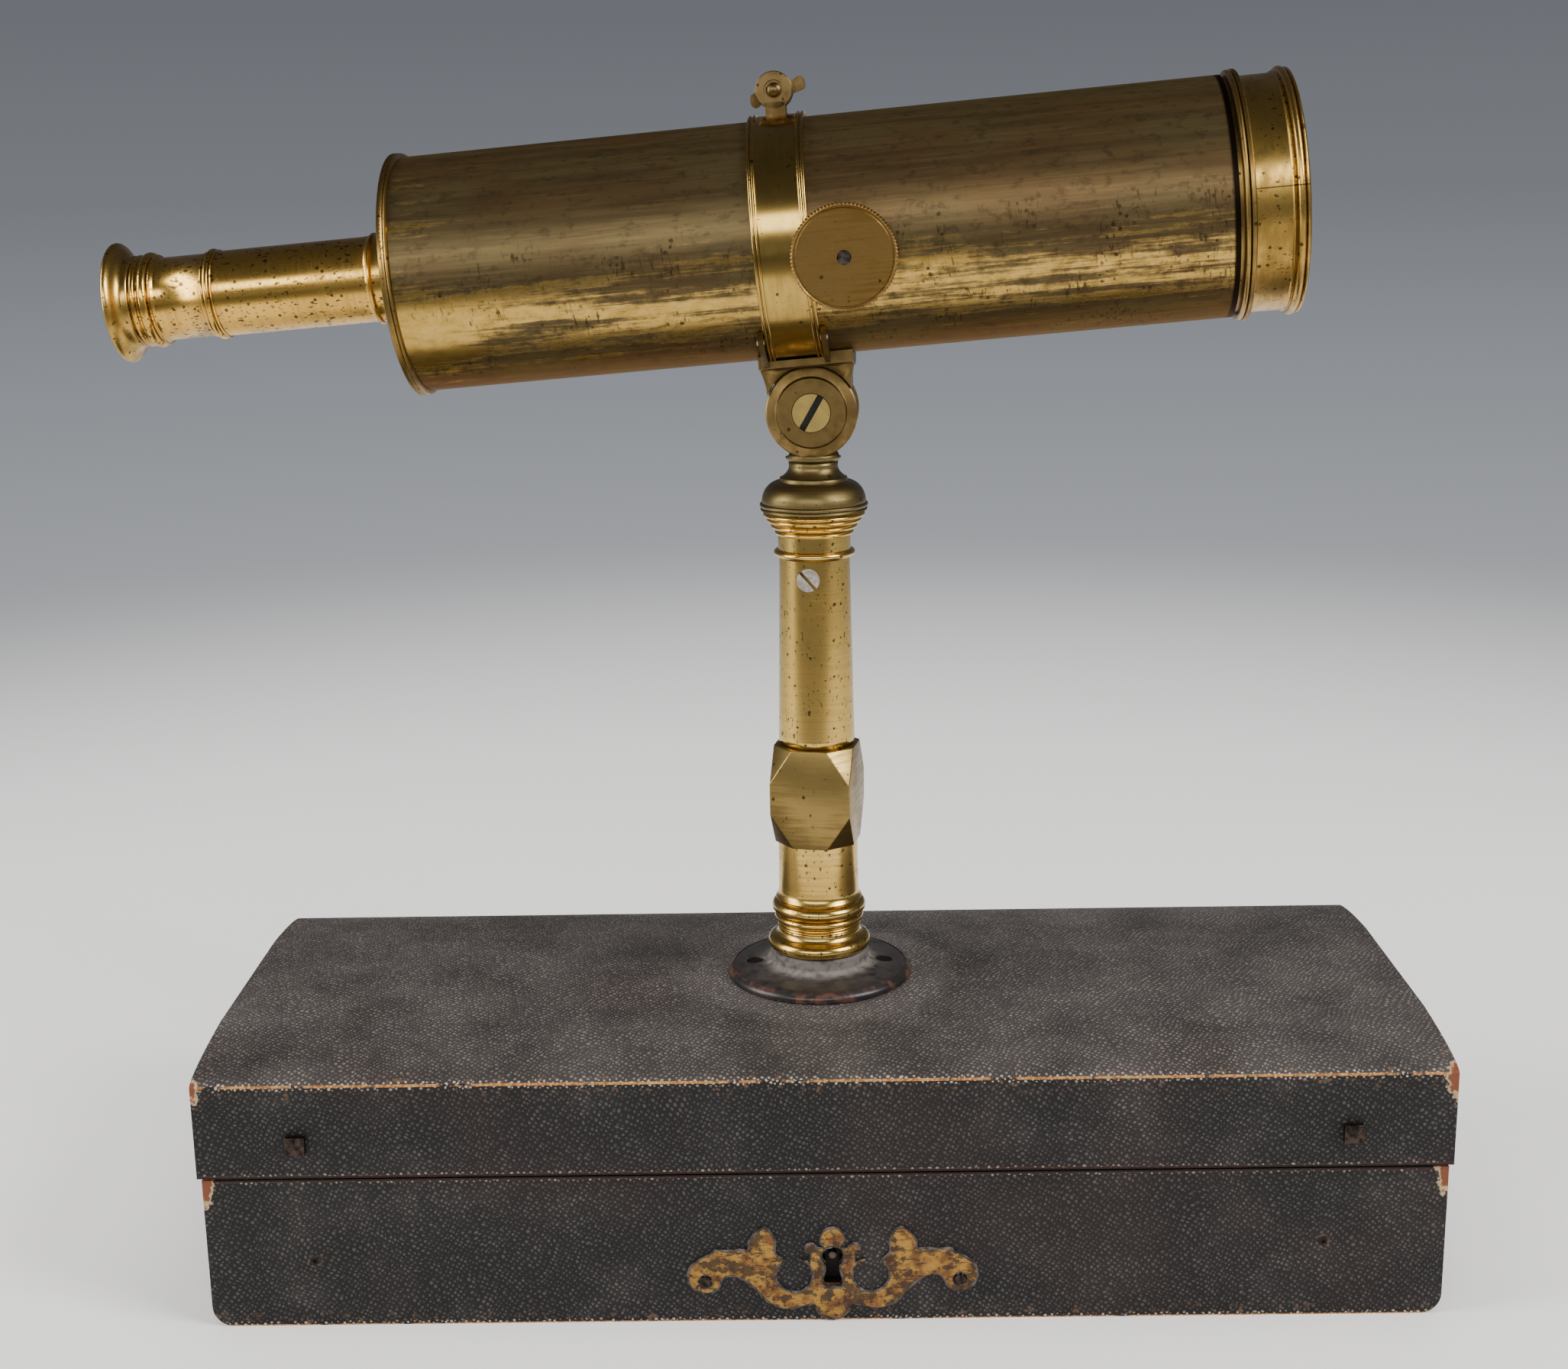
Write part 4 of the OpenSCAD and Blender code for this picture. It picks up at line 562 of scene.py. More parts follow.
def fish_skin(name, high, edge_z, seam_z, corner_z, holes=()):
    """Black fish skin, cracked at edge_z, dark red at seam_z and bare at corners near corner_z."""
    material, tree = new_material(name)
    whole = place(tree, UPRIGHT)
    parts = add(tree, "SeparateXYZ", whole).node.outputs
    ragged = add(tree, "TexNoise", whole, 1 / (2.2 * MM), 5.0, 0.65)
    grain = add(tree, "TexNoise", whole, 1 / (0.7 * MM), 2.0, 0.5)
    skin, dot = dyed_skin(tree, whole, parts, ragged)
    sides = []
    for axis in (0, 1):
        outwards = add(tree, "Math", parts[axis], operation="ABSOLUTE")
        sides.append(add(tree, "Math", high[axis], outwards, operation="SUBTRACT"))
    inward = add(tree, "Math", *sides, operation="MINIMUM")
    from_edge = add(tree, "Math", from_mark(tree, parts[2], edge_z), inward, operation="MAXIMUM")
    from_seam = from_mark(tree, parts[2], seam_z)
    skin = worn_edges(tree, skin, whole, dot, ragged, grain, from_edge, from_seam)
    below_corner = add(tree, "Math", parts[2], corner_z, operation="SUBTRACT")
    skin, rim = worn_corners(tree, skin, whole, ragged, sides, below_corner)
    for hole in holes:
        skin = worn_hole(tree, skin, whole, ragged, grain, hole)
    relief = add(tree, "Math", rim, -1.5, dot, operation="MULTIPLY_ADD")
    return shade(material, {
        "Base Color": skin,
        "Roughness": amount(tree, (dot, 0.0, 1.0, 0.6, 0.4)),
        "Specular IOR Level": 0.26,
        "Normal": add(tree, "Bump", 0.7, 0.1 * MM, None, relief),
    })


base_heights = (case_low.z, case_high.z, case_high.z)
base_skin = fish_skin("black fish skin, lower half", case_high, *base_heights, HOOK_EYE_HOLES)
lid_edge_z = lid_low.z + LID_EDGE_HEIGHT
lid_skin = fish_skin("black fish skin, lid", lid_high, lid_edge_z, lid_low.z, lid_edge_z)
print("fish skin:", len(base_skin.node_tree.nodes), "nodes, with", len(HOOK_EYE_HOLES), "holes")

# %% [markdown]
# The flange that the pillar screws into is ebonised: boxwood stained black to pass for ebony. Its
# rim has rubbed brown, and pale dust lies in the hollow round the pillar. The ramp says how much
# dust there is at each distance from the middle, in millimetres.

# %% Ebonised wood
DUST_LEVELS = [(13.0, 0.0), (15.3, 0.6), (16.6, 0.4), (18.5, 0.12), (28, 0.02)]


def ebonised(name):
    """Black-stained wood, dusty in its hollow and rubbed brown at the rim."""
    material, tree = new_material(name)
    whole = place(tree, UPRIGHT)
    blotch = add(tree, "TexNoise", whole, 1 / (5 * MM), 5.0, 0.6)
    fine = add(tree, "TexNoise", whole, 1 / (3 * MM), 4.0, 0.6)
    radius = from_middle(tree, add(tree, "SeparateXYZ", whole).node.outputs)
    hollow = ramp(tree, radius, [(mark * MM, level) for mark, level in DUST_LEVELS])
    dust = amount(tree, hollow, (fine, 0.2, 0.6))
    stain = ((blotch, 0.45, 0.7), "#251d1a")
    rubbed_rim = ((radius, 25 * MM, 27 * MM), (blotch, 0.5, 0.62), 0.7, "#5b3423")
    return shade(material, {
        "Base Color": layered(tree, "#141110", stain, rubbed_rim, (dust, "#9a9088")),
        "Roughness": amount(tree, (dust, 0.0, 0.4, 0.36, 0.7)),
    })


flange_wood = ebonised("ebonised boxwood")
print("ebonised boxwood:", len(flange_wood.node_tree.nodes), "nodes")

# %% [markdown]
# The keyhole plate was cast in brass and gilded. Two centuries of keys and thumbs have taken much
# of the gilding off in patches and scratches, down to a dark brown metal.

# %% Worn gilding
def worn_gilding(name):
    """Yellow gilding left in patches over dark cast brass."""
    material, tree = new_material(name)
    whole = place(tree, UPRIGHT)
    patches = add(tree, "TexNoise", place(tree, UPRIGHT, (0.5, 1, 1)), 1 / (2.4 * MM), 9.0, 0.76)
    scratches = place(tree, UPRIGHT, (0.12, 1, 1.6))
    scratches = add(tree, "TexNoise", scratches, 1 / (1.2 * MM), 4.0, 0.6)
    stains = add(tree, "TexNoise", whole, 1 / (5 * MM), 4.0, 0.6)
    hue = add(tree, "TexNoise", whole, 1 / (4 * MM), 4.0, 0.6)
    gone = 0.0
    for spots in ((patches, 0.5, 0.56), (scratches, 0.58, 0.64), (stains, 0.56, 0.6)):
        gone = add(tree, "Math", gone, amount(tree, spots), operation="MAXIMUM")
    reddish = ((hue, 0.4, 0.62), "#704b28")
    return shade(material, {
        "Base Color": layered(tree, "#a07a38", reddish, (gone, 0.85, "#352b25")),
        "Metallic": 0.7,
        "Roughness": amount(tree, (gone, 0.0, 1.0, 0.4, 0.6)),
        "Normal": add(tree, "Bump", 0.6, 0.06 * MM, None, patches),
    })


gilding = worn_gilding("worn gilding on cast brass")
print("worn gilding:", len(gilding.node_tree.nodes), "nodes")

# %% [markdown]
# The rest of the finishes are plainer: steel screws, dark iron, pine boards, woollen lining, and
# speculum metal, an alloy of copper and tin that polishes white. Each varies between two tones.

# %% Plain finishes
def plain_finish(name, light, dark, grain, metallic, rough, stretch=(1, 1, 1)):
    """A finish that varies between two tones, with a grain of this size."""
    material, tree = new_material(name)
    pattern = add(tree, "TexNoise", place(tree, UPRIGHT, stretch), 1 / grain, 4.0, 0.6)
    tone = layered(tree, dark, ((pattern, 0.35, 0.65), light))
    return shade(material, {"Base Color": tone, "Metallic": metallic, "Roughness": rough})


screw_steel = plain_finish("steel, slightly rusted", "#b9b2a8", "#857c72", 1.5 * MM, 0.8, 0.38)
screw_dark = plain_finish("steel, browned", "#5b534e", "#332c28", 1.5 * MM, 1.0, 0.45)
screw_pale = plain_finish("steel, dusty", "#a8a097", "#847b72", 1.2 * MM, 0.3, 0.5)
iron = plain_finish("dark iron", "#443830", "#1a1614", 1.4 * MM, 0.9, 0.3)
lock_black = plain_finish("blackened lock case", "#1c1815", "#0e0c0a", 2 * MM, 0.3, 0.7)
cast_edge = plain_finish(
    "cast brass, blackened edges", "#5b5450", "#2f2a27", 1.5 * MM, 0.7, 0.42
)
pine = plain_finish("pine board", "#8d6034", "#6e4726", 6 * MM, 0.0, 0.7, (0.1, 1, 1))
wool = plain_finish("green woollen lining", "#2f4a38", "#233a2b", 0.8 * MM, 0.0, 0.95)
speculum = plain_finish("speculum metal", "#d9d4c9", "#cfc9bd", 20 * MM, 1.0, 0.06)
print("finishes ready:", len(bpy.data.materials))

# %% [markdown]
# A few helpers make and finish pieces. `finish` turns a bmesh into an object that rides on a body
# and stands for a node. `copy_of` takes a node's own mesh and joins its loose triangles, which
# suits cut and flat pieces. Sharp edges stay sharp and the rest is shaded smooth.

# %% Helpers for pieces
NEAR = 0.001 * MM
bodies = frame["record"]["behaviour"]["bodies"]
node_body = {member: body for body, members in bodies.items() for member in members}


def mesh_of(bm, name):
    """A mesh with the faces of a bmesh, which is freed."""
    mesh = bpy.data.meshes.new(name)
    bm.to_mesh(mesh)
    bm.free()
    return mesh


def linked(name, data):
    """An object with this data, in the scene."""
    made = bpy.data.objects.new(name, data)
    bpy.context.scene.collection.objects.link(made)
    return made


def finish(bm, material, node, sharp=35, outward=True):
    """Makes a piece that stands for a node, rides on its body and hides the node.

    material is one material, or a list that the faces' own numbers choose from.
    """
    if outward:
        bmesh.ops.recalc_face_normals(bm, faces=bm.faces)
    name = node + "_dressed"
    piece = linked(name, mesh_of(bm, name))
    piece.data.shade_smooth()
    piece.data.set_sharp_from_angle(angle=math.radians(sharp))
    for each in material if isinstance(material, list) else [material]:
        piece.data.materials.append(each)
    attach(piece, node_body[node])
    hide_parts(node)
    return piece


def copy_of(node):
    """The node's own mesh with its triangles joined."""
    bm = bmesh.new()
    bm.from_mesh(frame["nodes"][node].data)
    bmesh.ops.remove_doubles(bm, verts=bm.verts, dist=NEAR)
    bmesh.ops.dissolve_limit(bm, angle_limit=math.radians(0.5), verts=bm.verts, edges=bm.edges)
    return bm


print("nodes on", len(bodies), "bodies:", len(node_body))

# %% [markdown]
# Brass work like this comes off a lathe, and a spin is Blender's lathe. A turned node arrives with
# about twenty flats round it. Cutting it along a plane through its axis gives back the turner's
# outline, and that outline is spun again in many more steps. The cut passes through the seam where
# the flats begin, because there the outline has its full radius.

# %% The lathe
STEPS = 144


def spin_round(bm, matrix, steps=STEPS, angle=360):
    """Spins an outline in the XZ plane about Z, and moves it to the piece's own directions."""
    bmesh.ops.spin(
        bm,
        geom=[*bm.verts, *bm.edges],
        cent=(0, 0, 0),
        axis=(0, 0, 1),
        angle=math.radians(angle),
        steps=steps,
        use_merge=angle == 360,
    )
    bmesh.ops.remove_doubles(bm, verts=bm.verts, dist=2 * NEAR)
    bmesh.ops.transform(bm, matrix=matrix, verts=bm.verts)
    bmesh.ops.recalc_face_normals(bm, faces=bm.faces)


def outline_of(node, matrix, top=None):
    """The outline of a turned node, in the XZ plane of its own directions, up to a height."""
    bm = copy_of(node)
    bmesh.ops.transform(bm, matrix=matrix.inverted(), verts=bm.verts)
    bmesh.ops.triangulate(bm, faces=bm.faces)
    everything = [*bm.verts, *bm.edges, *bm.faces]
    plane = {"plane_co": (0, 0, 0), "plane_no": (0, 1, 0)}
    cut = bmesh.ops.bisect_plane(bm, geom=everything, dist=NEAR, **plane)
    on_plane = {edge for edge in cut["geom_cut"] if isinstance(edge, bmesh.types.BMEdge)}
    on_plane |= {edge for edge in bm.edges if all(abs(vert.co.y) < NEAR for vert in edge.verts)}
    kept = {edge for edge in on_plane if all(vert.co.x > -NEAR for vert in edge.verts)}
    if top is not None:
        kept = {edge for edge in kept if all(vert.co.z < top for vert in edge.verts)}
    kept_points = {vert for edge in kept for vert in edge.verts}
    bmesh.ops.delete(bm, geom=bm.faces[:], context="FACES_ONLY")
    bmesh.ops.delete(bm, geom=[edge for edge in bm.edges if edge not in kept], context="EDGES")
    loose = [vert for vert in bm.verts if vert not in kept_points]
    bmesh.ops.delete(bm, geom=loose, context="VERTS")
    for vert in bm.verts:
        vert.co.y = 0
    bmesh.ops.remove_doubles(bm, verts=bm.verts, dist=NEAR)
    return bm


print("a spin has", STEPS, "steps")

# %% [markdown]
# With these two functions every turned piece is made again from its own outline: the pillar, the
# eyepiece, the dust cap, the mirror and the barrel itself.

# %% Turned pieces
def turned_again(node, matrix, steps=STEPS):
    """A turned node spun finely, from its own outline."""
    bm = outline_of(node, matrix)
    spin_round(bm, matrix, steps)
    return bm


turned_pieces = [
    (turned_brass, UPRIGHT, "pillar_foot pillar_shaft pillar_capital"),
    (eye_brass, BARREL, "eye_tube eye_coupling eye_collar"),
    (cap_brass, BARREL, "eye_cup"),
    (band_brass, BARREL, "cap_band"),
    (cap_brass, BARREL, "cap_disc"),
    (speculum, BARREL, "primary_mirror"),
    (rim_brass, BARREL, "mirror_ring"),
    (barrel_brass, BARREL, "barrel_tube"),
]
for material, own_directions, node_names in turned_pieces:
    for node_name in node_names.split():
        made = turned_again(node_name, own_directions)
        print(node_name, len(made.faces), "faces")
        finish(made, material, node_name)

# %% [markdown]
# The back plate and the mouth ring have milled edges: a wheel with teeth was pressed into the rim
# as it turned. Pressing in every second column of the spun rim gives the same row of cuts. The
# heights of the cuts are counted from each ring's lower edge.

# %% Milled rims
RIM_CUTS = 180
RIM_RADIUS = 34.1 * MM
RIM_CUT_DEPTH = 0.22 * MM
MOUTH_LOW = 119.1 * MM


def milled(bm, matrix, low, high, radius, depth, cuts):
    """Presses every second column of points inwards, on the rim between two heights."""
    back = matrix.inverted()
    for vert in bm.verts:
        own = back @ vert.co
        flat = Vector((own.x, own.y, 0))
        column = round(math.atan2(own.y, own.x) / math.tau * cuts * 2)
        on_rim = abs(flat.length - radius) < 0.2 * MM
        if column % 2 and on_rim and low - 0.01 * MM < own.z < high + 0.01 * MM:
            own -= flat.normalized() * depth
            vert.co = matrix @ own


back_plate = turned_again("back_plate", BARREL, 2 * RIM_CUTS)
back_low = min((BARREL.inverted() @ vert.co).z for vert in back_plate.verts)
mouth_ring = turned_again("mouth_ring", BARREL, 2 * RIM_CUTS)
rims = [
    ("back_plate", back_plate, back_low + 0.5 * MM, back_low + 1.9 * MM),
    ("mouth_ring", mouth_ring, MOUTH_LOW + 2.9 * MM, MOUTH_LOW + 3.8 * MM),
]
for node_name, ring, low, high in rims:
    milled(ring, BARREL, low, high, RIM_RADIUS, RIM_CUT_DEPTH, RIM_CUTS)
    finish(ring, rim_brass, node_name, 25)
print("milled rims:", RIM_CUTS, "cuts each")

# %% [markdown]
# The swivel head is a turned dome with a milled ring below and two round cheeks above. The dome's
# outline comes from the solid, up to the slot between the cheeks, and the neck's ring is drawn on,
# as a quarter of a circle. A boolean opens the slot.

# %% Swivel head
SLOT_FLOOR = joint_centre.z - 13.4 * MM
SLOT_SIZE = (40 * MM, 6 * MM, 7.1 * MM)
NECK_TOP = -11.8
HEAD_CUTS = 90


def close_ends(bm):
    """Fills the holes that a spin has left open."""
    open_edges = [edge for edge in bm.edges if len(edge.link_faces) == 1]
    bmesh.ops.holes_fill(bm, edges=open_edges, sides=0)


def cut_away(piece, cutter_bm):
    """Cuts a shape out of a piece, and drops the cutter."""
    cutter = linked("cutter", mesh_of(cutter_bm, "cutter"))
    modifier = piece.modifiers.new("cut", "BOOLEAN")
    modifier.object = cutter
    modifier.solver = "EXACT"
    bpy.context.view_layer.update()
    graph = bpy.context.evaluated_depsgraph_get()
    cut_mesh = bpy.data.meshes.new_from_object(piece.evaluated_get(graph))
    piece.modifiers.remove(modifier)
    uncut = piece.data
    piece.data = cut_mesh
    bpy.data.meshes.remove(uncut)
    bpy.data.objects.remove(cutter)
    piece.data.set_sharp_from_angle(angle=math.radians(35))


dome = outline_of("swivel_head", UPRIGHT, SLOT_FLOOR - 0.1 * MM)
last = max((vert for vert in dome.verts if len(vert.link_edges) == 1), key=lambda vert: vert.co.z)
bead_turns = [math.radians(a) for a in (0, 30, 60, 90)]
neck_ring = [(6.75 + 1.35 * math.cos(a), -13.25 + 1.35 * math.sin(a)) for a in bead_turns]
for r, z in [*neck_ring, (7.4, NECK_TOP), (0, NECK_TOP)]:
    corner = dome.verts.new((r * MM, 0, joint_centre.z + z * MM))
    dome.edges.new((last, corner))
    last = corner
spin_round(dome, UPRIGHT, 2 * HEAD_CUTS)
close_ends(dome)
ring_low = joint_centre.z - 28.7 * MM
milled(dome, UPRIGHT, ring_low + 0.1 * MM, ring_low + 0.9 * MM, 15.5 * MM, 0.2 * MM, HEAD_CUTS)
head = finish(dome, [head_brass, joint_brass], "swivel_head", 30)
slot = bmesh.new()
slot_place = JOINT @ Matrix.Translation((0, -10.4 * MM, 0)) @ Matrix.Diagonal((*SLOT_SIZE, 1))
bmesh.ops.create_cube(slot, size=1, matrix=slot_place)
cut_away(head, slot)
print("slot in the head:", round(SLOT_SIZE[2] / MM, 1), "mm wide")

# %% [markdown]
# Each cheek of the compass joint is turned about the joint's own axis, with a raised boss. Outlines
# are drawn from pairs of a radius and a height in millimetres. The front cheek has a seat for the
# screw's head, and the back one is plain.

# %% Cheeks of the compass joint
CHEEK_OUTLINE = [(3.0, 3.55), (12.7, 3.55), (13.1, 3.9), (13.1, 7.1), (12.6, 7.6), (10.35, 7.6)]
CHEEK_OUTLINE += [(10.1, 7.8), (10.1, 8.0), (9.7, 8.4)]
SCREW_SEAT = [(5.6, 8.4), (5.4, 8.2), (5.4, 6.7), (3.0, 6.7)]
OVER = Matrix.Rotation(math.pi, 4, "X")


def drawn_outline(points):
    """A closed outline in the XZ plane from (radius, height) pairs in millimetres."""
    bm = bmesh.new()
    corners = [bm.verts.new((r * MM, 0, z * MM)) for r, z in points]
    for first, second in zip(corners, corners[1:] + corners[:1]):
        bm.edges.new((first, second))
    return bm


def join_part(whole, part):
    """Joins a part to a piece. Its faces take the piece's second material."""
    for face in part.faces:
        face.material_index = 1
    mesh = mesh_of(part, "part")
    whole.from_mesh(mesh)
    bpy.data.meshes.remove(mesh)


whole_head = bmesh.new()
whole_head.from_mesh(head.data)
for own, centre in ((JOINT, SCREW_SEAT), (JOINT @ OVER, [(3.0, 8.4)])):
    cheek = drawn_outline(CHEEK_OUTLINE + centre)
    spin_round(cheek, own)
    join_part(whole_head, cheek)
whole_head.to_mesh(head.data)
whole_head.free()
head.data.shade_smooth()
head.data.set_sharp_from_angle(angle=math.radians(30))
print("swivel head:", len(head.data.polygons), "faces")

# %% [markdown]
# The clamp is a strap bent round the barrel and split at the top, with two reeds pressed along each
# edge. It is spun almost all the way round.

# %% Clamp band
BAND_INSIDE = 32.95
BAND_OUTSIDE = 34.05
BAND_HALF = 7.75
BAND_CENTRE = -2.4
REED_TOP = 34.55
EAR_GAP = 3.2


def reed(low):
    """Half round reed on the band's outline, 1 mm wide, from this height up."""
    turns = [math.radians(-90 + 30 * i) for i in range(7)]
    return [(REED_TOP - 0.5 + 0.5 * math.cos(a), low + 0.5 + 0.5 * math.sin(a)) for a in turns]


band_outline = [(BAND_INSIDE, -BAND_HALF), (BAND_OUTSIDE, -BAND_HALF)]
band_outline += reed(-BAND_HALF) + reed(-6.65)
band_outline += [(BAND_OUTSIDE, -5.4), (BAND_OUTSIDE, 5.4)]
band_outline += reed(5.65) + reed(6.75)
band_outline += [(BAND_OUTSIDE, BAND_HALF), (BAND_INSIDE, BAND_HALF)]
split_half = math.degrees(math.asin(EAR_GAP / 2 / 33.5))
band = drawn_outline(band_outline)
bmesh.ops.remove_doubles(band, verts=band.verts, dist=0.005 * MM)
to_split = Matrix.Rotation(math.radians(180 + split_half), 3, "Z")
bmesh.ops.rotate(band, cent=(0, 0, 0), matrix=to_split, verts=band.verts)
band_place = BARREL @ Matrix.Translation((0, 0, BAND_CENTRE * MM))
spin_round(band, band_place, 200, 360 - 2 * split_half)
close_ends(band)
print("clamp band:", len(band.faces), "faces, split over", round(2 * split_half, 1), "degrees")

# %% [markdown]
# The two ears of the clamp are small turned discs on short necks, and the thumbscrew draws them
# together. One ear has a recess for the screw's end.

# %% Ears of the clamp
EAR_THICKNESS = 2.0
EAR_BORE = 2.2
EAR_EDGE = [(EAR_BORE, 0), (4.95, 0), (5.15, 0.2), (5.15, 1.8), (4.95, EAR_THICKNESS)]
RECESS = [(2.8, EAR_THICKNESS), (2.8, 1.3), (EAR_BORE, 1.3)]
NECK_SIZE = (5.6 * MM, 4.6 * MM, 2 * MM)
ears = ((1, Matrix.Identity(4), RECESS), (-1, OVER, [(EAR_BORE, EAR_THICKNESS)]))
for side, turn, middle in ears:
    ear = drawn_outline(EAR_EDGE + middle)
    spin_round(ear, EARS @ turn @ Matrix.Translation((0, 0, EAR_GAP / 2 * MM)), 72)
    neck = bmesh.ops.create_cube(ear, size=1)["verts"]
    bmesh.ops.scale(ear, vec=NECK_SIZE, verts=neck)
    neck_place = EARS @ Matrix.Translation((0, -5.5 * MM, side * (EAR_GAP / 2 + 1) * MM))
    bmesh.ops.transform(ear, matrix=neck_place, verts=neck)
    join_part(band, ear)
finish(band, [clamp_brass, thumb_brass], "clamp_band", 40)
print("ears", EAR_GAP, "mm apart")

# %% [markdown]
# The focusing knob is a thin disc with a milled edge. Its face was turned flat, and a square hole
# lets the steel spindle's end show. It is spun with twice as many steps as there are cuts.

# %% Focusing knob
KNOB_CUTS = 88
KNOB_LOW = 36.1 * MM
KNOB_OUTLINE = [(1.9, 0), (13.6, 0), (13.9, 0.25), (14.4, 0.5), (14.4, 1.9), (14.1, 2.2)]
KNOB_OUTLINE += [(13.7, 2.3), (13.45, 2.1), (13.2, 2.1), (12.95, 2.4), (1.9, 2.4)]
knob = drawn_outline(KNOB_OUTLINE)
knob_offset = KNOB_LOW - (knob_centre - barrel_centre).dot(knob_axis)
knob_place = KNOB @ Matrix.Translation((0, 0, knob_offset))
spin_round(knob, knob_place, 2 * KNOB_CUTS)
milled(knob, knob_place, 0.4 * MM, 2.25 * MM, 14.25 * MM, 0.35 * MM, KNOB_CUTS)
finish(knob, knob_brass, "focus_knob", 25)
print("knob:", KNOB_CUTS, "cuts,", round(KNOB_LOW / MM, 1), "mm from the barrel's middle")

# %% [markdown]
# The wooden flange is a shallow turned cup that the pillar screws into. It is drawn afresh, because
# the solid has screw holes where the lathe's cut would pass. A boolean opens the two screw seats.

# %% Flange
SEAT_RADIUS = 2.7 * MM
SEAT_OUT = 19.5 * MM


def curve(r0, z0, r1, z1, bulge, steps):
    """Points from (r0, z0) to (r1, z1) that swell out by bulge in the middle."""
    shares = [i / steps for i in range(steps + 1)]
    swell = [bulge * math.sin(math.pi * k) for k in shares]
    return [(r0 + (r1 - r0) * k + out, z0 + (z1 - z0) * k) for k, out in zip(shares, swell)]


flange_points = [(0, -0.7), (27.5, -0.7), (27.9, -0.2)]
flange_points += curve(27.9, 0.3, 26.4, 2.4, 0.5, 6)
flange_points += [(25.9, 2.2), (25.5, 2.4)]
flange_points += curve(25.3, 2.5, 16.4, 3.6, -0.2, 8)
flange_points += curve(16.2, 3.65, 14.8, 5.0, -0.4, 6)
flange_points += [(14.8, 7.3), (14.2, 7.9), (0, 7.9)]
flange_bm = drawn_outline(flange_points)
spin_round(flange_bm, Matrix.Translation((0, 0, lid_high.z)))
flange = finish(flange_bm, flange_wood, "stand_flange")
for side in (-1, 1):
    seat = bmesh.new()
    radii = {"radius1": SEAT_RADIUS, "radius2": SEAT_RADIUS}
    seat_place = Matrix.Translation((side * SEAT_OUT, 0, lid_high.z + 5 * MM))
    bmesh.ops.create_cone(
        seat, cap_ends=True, segments=48, **radii, depth=7 * MM, matrix=seat_place
    )
    cut_away(flange, seat)
print("flange:", len(flange.data.polygons), "faces")

# %% [markdown]
# Cut and filed pieces keep the solid's own form. Their edges are eased a little, as a file and two
# centuries of handling leave them, and the light picks out the eased edges. The number is how far
# the edges are eased, in millimetres.

# %% Cut and filed pieces
def eased(bm, width, degrees=40):
    """Rounds the edges where two faces meet at more than this angle."""
    limit = math.radians(degrees)
    meeting = [edge for edge in bm.edges if len(edge.link_faces) == 2]
    sharp = [edge for edge in meeting if edge.calc_face_angle() > limit]
    bmesh.ops.bevel(
        bm,
        geom=sharp,
        offset=width,
        segments=2,
        affect="EDGES",
        profile=0.5,
        material=-1,
        clamp_overlap=True,
    )


filed_pieces = [
    (grip_brass, 0.25, "pillar_grip"),
    (joint_brass, 0.0, "saddle"),
    (screw_steel, 0.0, "collar_pins"),
    (thumb_brass, 0.0, "clamp_thumbscrew"),
    (screw_dark, 0.0, "flange_screws"),
    (iron, 0.3, "hook_stubs"),
    (iron, 0.15, "escutcheon_pins"),
    (screw_dark, 0.1, "key_pin"),
    (screw_dark, 0.0, "focus_spindle"),
    (rim_brass, 0.0, "focus_bush"),
    (lid_skin, 0.0, "lid_covering"),
    (base_skin, 0.0, "base_covering"),
    (rim_brass, 0.0, "base_hinge_leaves"),
    (rim_brass, 0.0, "lid_hinge_leaves"),
    (screw_steel, 0.0, "hinge_pins"),
]
for material, ease, node_name in filed_pieces:
    bm = copy_of(node_name)
    if ease:
        eased(bm, ease * MM)
    finish(bm, material, node_name, outward=False)
print("filed pieces:", len(filed_pieces))

# %% [markdown]
# The faces inside the screws' slots get a second, dark material. They are found by their depth
# under the head's top and by how near they are to its middle.

# %% Screws with dark slots
SLOT_DEPTH = 1.6 * MM
slot_dark = plain_finish("dark slot floor", "#231c15", "#120e0b", 0.8 * MM, 0.0, 0.8)
screw_middle_z = sum(corner.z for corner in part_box("pillar_screw")) / 2
screw_turn = math.radians(11)
screw_out = Vector((-math.sin(screw_turn), -math.cos(screw_turn), 0))
screw_across = Vector((0, 0, 1)).cross(screw_out)
PILLAR_SCREW = directions(screw_across, Vector((0, 0, 1)), screw_out, (0, 0, screw_middle_z))
slotted_screws = [
    ("joint_screw", JOINT, screw_brass, 5.1),
    ("pillar_screw", PILLAR_SCREW, screw_pale, 3.05),
]
for node_name, own, material, slot_reach in slotted_screws:
    screw = copy_of(node_name)
    back = own.inverted()
    head_top = max((back @ vert.co).z for vert in screw.verts)
    for face in screw.faces:
        middle = back @ face.calc_center_median()
        below = head_top - middle.z
        if middle.to_2d().length < slot_reach * MM and 0.05 * MM < below < SLOT_DEPTH:
            face.material_index = 1
    print(node_name, "slot faces:", sum(face.material_index for face in screw.faces))
    finish(screw, [material, slot_dark], node_name, outward=False)

# %% [markdown]
# The keyhole plate is cast with sloping edges. Its front face is inset, and the new outer ring of
# points is moved back, which slopes the edge all round. The gilding has gone from there.

